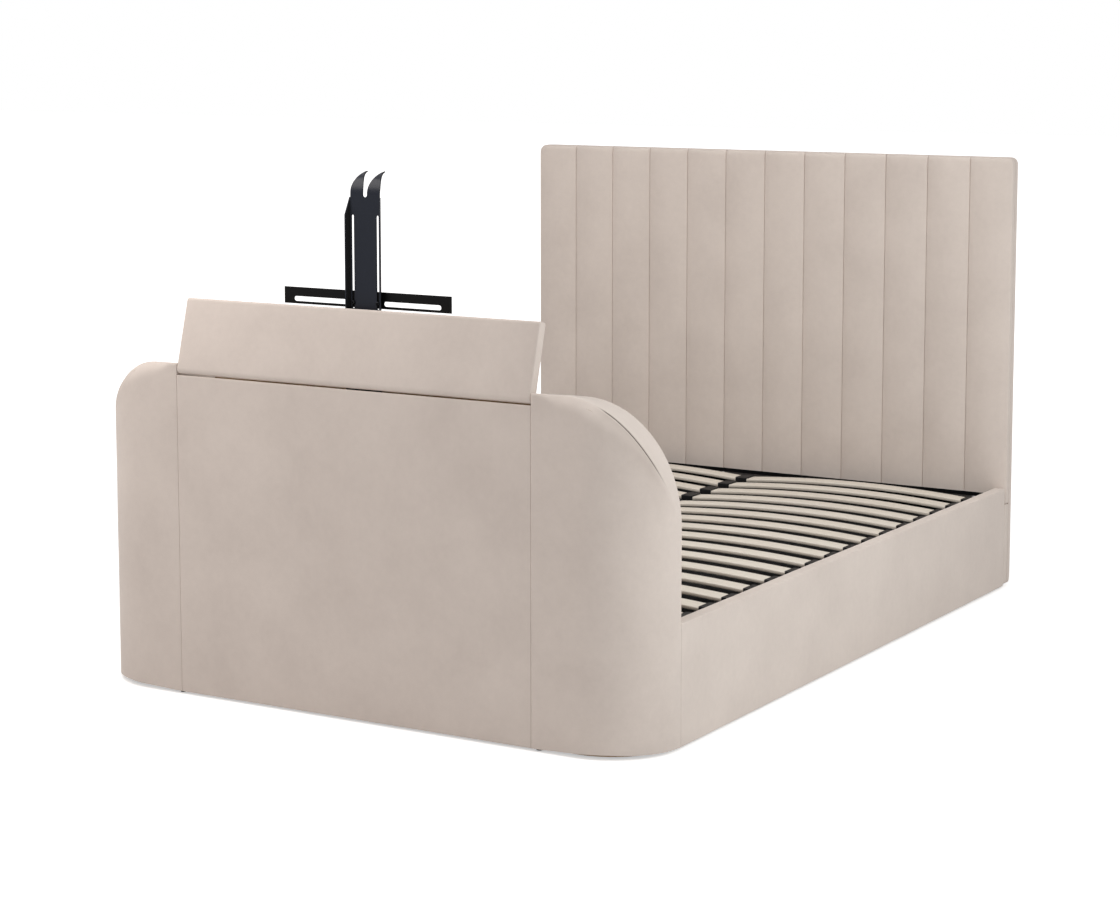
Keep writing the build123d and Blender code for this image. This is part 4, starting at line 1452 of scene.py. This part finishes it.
@dataclass
class SlatBase:
    """Two banks of bowed birch slats in black plastic holders."""

    frame_top: float = 0.257
    count: int = 16
    first_y: float = 0.969
    pitch: float = 0.117
    inner_x: float = 0.006
    outer_x: float = 0.727
    width: float = 0.053
    thickness: float = 0.010
    rise: float = 0.016
    floor: float = 0.008
    roof: float = 0.004
    side: float = 0.004
    grip: float = 0.013
    tail: float = 0.026
    play: float = 0.0004
    edge_round: float = 0.0032
    bow_steps: int = 22
    holder_corner: float = 0.006
    rib: tuple[float, float] = (0.002, 0.0008)
    hollow: tuple[float, float] = (0.004, -0.0006)
    mouth_roof: float = 0.0014
    mouth_corner: float = 0.002

    def _slat(self) -> Bench:
        """One right-hand slat, spun along its bow from its own cross-section.

        Returns:
            The bench that holds it.
        """
        crest = self.frame_top + self.floor + self.rise
        half = (self.outer_x - self.inner_x) / 2
        middle = self.inner_x + half
        radius = (half * half + self.rise * self.rise) / (2 * self.rise)
        sweep = 2 * math.asin(half / radius)
        centre = (middle, 0.0, crest - radius)
        bench = Bench.rectangle("slat", (middle, 0, crest + self.thickness / 2), (self.thickness, self.width, 1),
                                turned=(0, math.pi / 2, 0))
        bench.everything()
        bpy.ops.mesh.bevel(offset=self.edge_round, segments=3, affect="VERTICES")
        bench.turn(-math.degrees(sweep / 2), Axis.Y, centre).everything()
        bpy.ops.mesh.spin(steps=self.bow_steps, angle=-sweep, center=centre, axis=Axis.Y.value)
        bench.weld(0.00001)
        return bench.note("layer", lambda p: (math.hypot(p.x - centre[0], p.z - centre[2]) - radius) / self.thickness)

    def _holder(self, name: str, low_x: float, high_x: float, *mouths: tuple[float, float]) -> Bench:
        """One plastic holder with rounded corners and a raised rib.

        Args:
            name: Name of its mesh.
            low_x: Its left end.
            high_x: Its right end.
            mouths: The two ends of each mouth for a slat.

        Returns:
            The bench that holds it.
        """
        seat = self.frame_top + self.floor
        top = seat + self.thickness + self.roof
        half = self.width / 2 + self.side
        reach = self.width / 2 + self.play
        bench = Bench.block(name, (low_x, -half, self.frame_top), (high_x, half, top))
        bench.edges(lambda a, b: abs(a.z - b.z) > 0.001).bevel(self.holder_corner, 3)
        bench.faces(lambda middle, normal: normal.z > 0.9).inset(self.rib[0]).move((0, 0, self.rib[1]))
        bench.faces(lambda middle, normal: normal.z > 0.9 and middle.z > top).inset(self.hollow[0])
        bench.move((0, 0, self.hollow[1]))
        for start, end in mouths:
            mouth = Bench.block("mouth", (start, -reach, seat - self.play),
                                (end, reach, seat + self.thickness + self.mouth_roof))
            bench.join(mouth.edges(lambda a, b: abs(a.x - b.x) > 0.001).bevel(self.mouth_corner, 2), Joining.CUT)
        return bench.soften(0.0008, 1)

    def _row(self, bench: Bench, name: str, finish: Finish, angle: float, node: str) -> None:
        """Set one piece out at every slat, as one dressed piece.

        Args:
            bench: The piece, which is used up.
            name: Name of the row.
            finish: The finish it gets.
            angle: Sharpest edge that is shaded smoothly, in degrees.
            node: CAD node that it stands for.
        """
        each = [bench.copy(f"{name}_{i}", (0, self.first_y - i * self.pitch, 0)) for i in range(self.count)]
        bpy.data.objects.remove(bench.piece)
        dress(Bench.gathered(name, each).smooth(angle), finish, Body.BED, [node])

    def build(self) -> None:
        """Build the slats and holders, each once, and set them out along the bed."""
        slat = self._slat()
        left = slat.mirrored("slats_left")
        for bench, side in ((slat, "right"), (left, "left")):
            self._row(bench, f"slat_bank_{side}", FINISHES["slat_wood"], 40, f"slats_{side}")
        inner = self.outer_x - self.grip
        outer = self._holder("holder", inner, self.outer_x + self.tail, (inner - 0.01, self.outer_x))
        twin = outer.mirrored("holder_left")
        grip = self.inner_x + self.grip
        middle = self._holder("holder_middle", -grip, grip, (self.inner_x, grip + 0.01),
                              (-grip - 0.01, -self.inner_x))
        for bench, side in ((outer, "right"), (twin, "left"), (middle, "centre")):
            self._row(bench, f"holders_{side}", FINISHES["black_plastic"], 30, f"slat_holders_{side}")


@dataclass
class DustCloth:
    """Two black sheets under the slat frame, one on each side of its middle beam, put there as painted shade for the
    dark seen between the slats; they sag and pucker like cloth stapled at its edges.
    """

    inner_x: float = 0.0205
    outer_x: float = 0.7375
    ends: tuple[float, float] = (-0.883, 1.0155)
    height: float = 0.2305
    sag: float = 0.010
    pucker: float = 0.004
    crease: float = 0.002
    thickness: float = 0.0008

    def _hung(self, p: Vector) -> Vector:
        """Let the cloth sag and pucker between its staples.

        Args:
            p: A point of the flat cloth.

        Returns:
            Its new place.
        """
        low_y, high_y = self.ends
        across = (p.x - self.inner_x) / (self.outer_x - self.inner_x) * 2 - 1
        along = (p.y - low_y) / (high_y - low_y) * 2 - 1
        free = (1 - across**2) * (1 - along**6)
        uneven = self.pucker * unevenness(p, 0.13, 11.0) + self.crease * unevenness(p, 0.04, 2.0)
        return Vector((p.x, p.y, p.z - free * (self.sag + uneven)))

    def build(self) -> None:
        """Build the right panel, and mirror it."""
        low_y, high_y = self.ends
        width, length = self.outer_x - self.inner_x, high_y - low_y
        middle = ((self.inner_x + self.outer_x) / 2, (low_y + high_y) / 2, self.height)
        bench = Bench.rectangle("dust_cloth_right", middle, (width, length, 1)).everything()
        bpy.ops.mesh.subdivide(number_cuts=63)
        bench.shape(self._hung).modify("SOLIDIFY", thickness=self.thickness, offset=-1.0).smooth(60)
        left = bench.mirrored("dust_cloth_left").smooth(60)
        for cloth, side in ((bench, "right"), (left, "left")):
            # The black sheets are painted shade: they stand where the bed's interior is only in shade.
            dress(cloth, DustFelt(), Body.BED)


@dataclass
class Bolts:
    """Button-head bolts with hexagon sockets, where they show."""

    radius: float = 0.003
    head_radius: float = 0.0055
    socket: float = 0.0024
    web_front: float = -1.04002
    web_back: float = -1.03752
    bar_z: float = 0.99704
    bar_x: float = 0.0355
    bar_length: float = 0.0105
    mast_x: float = 0.018
    mast_inset: float = 0.0055
    tube_z: float = 0.272
    tube_xs: tuple[float, float] = (0.1077, 0.718)
    tube_ys: tuple[float, float] = (1.033, -0.901)
    tube_length: float = 0.048
    head: float = 0.004
    tube_head: float = 0.003
    head_round: float = 0.62
    socket_depth: float = 0.001

    def _one(self, name: str, seat: Point, way: Vector, length: float, head: float) -> Bench:
        """One bolt.

        Args:
            name: Name of the mesh.
            seat: Middle of the seat under its head.
            way: Direction of its shank.
            length: Length of its shank.
            head: Height of its head.

        Returns:
            The bench that holds it.
        """
        start = Vector(seat)
        top = start - way * head
        bench = Bench.rod(name, start, top, self.head_radius, 28)
        bench.edges(lambda a, b: (a - top).dot(way) < TOUCH and (b - top).dot(way) < TOUCH)
        bench.bevel(head * self.head_round, 4)
        bench.join(Bench.rod("key", top - way * self.socket_depth, top + way * head * 0.6, self.socket, 6), Joining.CUT)
        shank = Bench.rod("shank", start - way * 0.0004, start + way * length, self.radius, 20)
        return bench.join(shank, Joining.ADD)

    def _set(self, node: str, body: Body, finish: Finish, seats: list[Point], way: Point, length: float,
             head: float) -> None:
        """Build bolts of one kind as one dressed piece.

        Args:
            node: CAD node that it stands for.
            body: The body it rides on.
            finish: The finish it gets.
            seats: Middles of the seats under the heads.
            way: Direction of the shanks.
            length: Length of a shank.
            head: Height of a head.
        """
        name = node.replace("_bolts", "_button_bolts")
        made = [self._one(f"{name}_{i}", seat, Vector(way), length, head) for i, seat in enumerate(seats)]
        dress(Bench.gathered(name, made).smooth(35), finish, body, [node])

    def build(self) -> None:
        """Build the bolts on the crossbar, on the carriage and on the end tubes."""
        sides = (-1, 1)
        self._set("crossbar_bolts", Body.CROSSBAR, BlackZinc(),
                  [(side * self.bar_x, self.web_front, self.bar_z) for side in sides], (0, 1, 0), self.bar_length,
                  self.head)
        low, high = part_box("mast_bolts")
        self._set("mast_bolts", Body.MAST, Zinc(),
                  [(side * self.mast_x, self.web_back, z) for side in sides
                   for z in (low.z + self.mast_inset, high.z - self.mast_inset)], (0, -1, 0),
                  self.web_back - low.y, self.head)
        self._set("frame_bolts", Body.BED, Zinc(),
                  [(side * x, y, self.tube_z) for x in self.tube_xs for y in self.tube_ys for side in sides],
                  (0, 0, -1), self.tube_length, self.tube_head)


@dataclass(frozen=True)
class Lamp:
    """A large soft lamp that faces a point and stays unseen itself."""

    name: str
    place: Point
    target: Point
    size: float
    power: float
    tint: Point

    def build(self) -> None:
        """Add the lamp to the scene."""
        data = bpy.data.lights.new(self.name, "AREA")
        data.shape, data.size, data.energy, data.color = "DISK", self.size, self.power, self.tint
        lamp = bpy.data.objects.new(self.name, data)
        bpy.context.scene.collection.objects.link(lamp)
        lamp.location = self.place
        lamp.visible_camera = False
        lamp.rotation_euler = (Vector(self.target) - Vector(self.place)).to_track_quat("-Z", "Y").to_euler()


@dataclass
class Studio:
    """White floor, soft light and the camera at the photograph's place."""

    lens: float = 84.50
    place: Point = (3.5592, -6.1336, 1.6644)
    yaw: float = 30.695
    pitch: float = 7.124
    shift: float = -0.10
    floor_size: float = 60.0
    ambient: float = 0.437
    warm: Colour = (1.0, 0.965, 0.945, 1.0)
    lamps: tuple[Lamp, ...] = (
        Lamp("top_light", (0.8, -0.8, 5.5), (0.2, 0.0, 0.0), 5.0, 69.0, (1.0, 1.0, 1.0)),
        Lamp("right_light", (3.0, -0.70, 1.84), (0.6, -0.4, 0.3), 1.3, 26.5, (0.95, 1.0, 1.0)),
        Lamp("head_light", (-0.3, -0.6, 1.9), (-0.1, 1.1, 0.45), 1.2, 2.5, (1.0, 0.97, 0.94)),
        Lamp("left_light", (-1.16, -1.67, 2.10), (0.0, -1.0, 0.5), 1.4, 16.5, (1.0, 0.95, 0.91)))

    def build(self) -> None:
        """Build the floor, the backdrop, the lamps and the camera."""
        let_go()
        bpy.ops.mesh.primitive_plane_add(size=self.floor_size)
        floor = bpy.context.object
        floor.name = "studio_floor"
        floor.data.materials.append(StudioFloor().material())
        scene = bpy.context.scene
        scene.view_settings.view_transform = "Standard"
        scene.world = scene.world or bpy.data.worlds.new("studio")
        scene.world.use_nodes = True
        sheet = Sheet(scene.world.node_tree)
        seen = sheet.add("LightPath").outputs["Is Camera Ray"]
        sheet.feed(sheet.tree.nodes["Background"], {"Strength": sheet.span(seen, 0.0, 1.0, self.ambient, 1.0),
                                                    "Color": sheet.blend(seen, self.warm, WHITE)})
        for lamp in self.lamps:
            lamp.build()
        camera = bpy.data.objects.new("camera", bpy.data.cameras.new("camera"))
        scene.collection.objects.link(camera)
        camera.location = self.place
        camera.rotation_euler = (math.radians(90 - self.pitch), 0, math.radians(self.yaw))
        camera.data.lens, camera.data.sensor_width, camera.data.shift_y = self.lens, 36.0, self.shift
        scene.camera = camera


def dress_frame() -> None:
    """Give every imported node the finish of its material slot."""
    for part in frame["record"]["subparts"]:
        node = frame["nodes"].get(part["node"])
        finish = FINISHES.get(part["material_slot"])
        if node is None or finish is None:
            continue
        # The mast takes the lacquer with its painted reflection and painted shade.
        if part["node"] == "tv_mast":
            finish = MastLacquer()
        if not node.data.materials:
            node.data.materials.append(finish.material())
        for slot in node.material_slots:
            slot.material = finish.material()


def main() -> None:
    """Build the dressed bed in order."""
    logging.basicConfig(level=logging.INFO, format="%(name)s: %(message)s")
    dress_frame()
    for assembly in (Studio(), Footboard(), Lid(), Rails(), Headboard(), SlatBase(), DustCloth(), Bolts()):
        LOG.info("building %s", type(assembly).__name__)
        assembly.build()
    let_go()


if __name__ == "__main__":
    main()
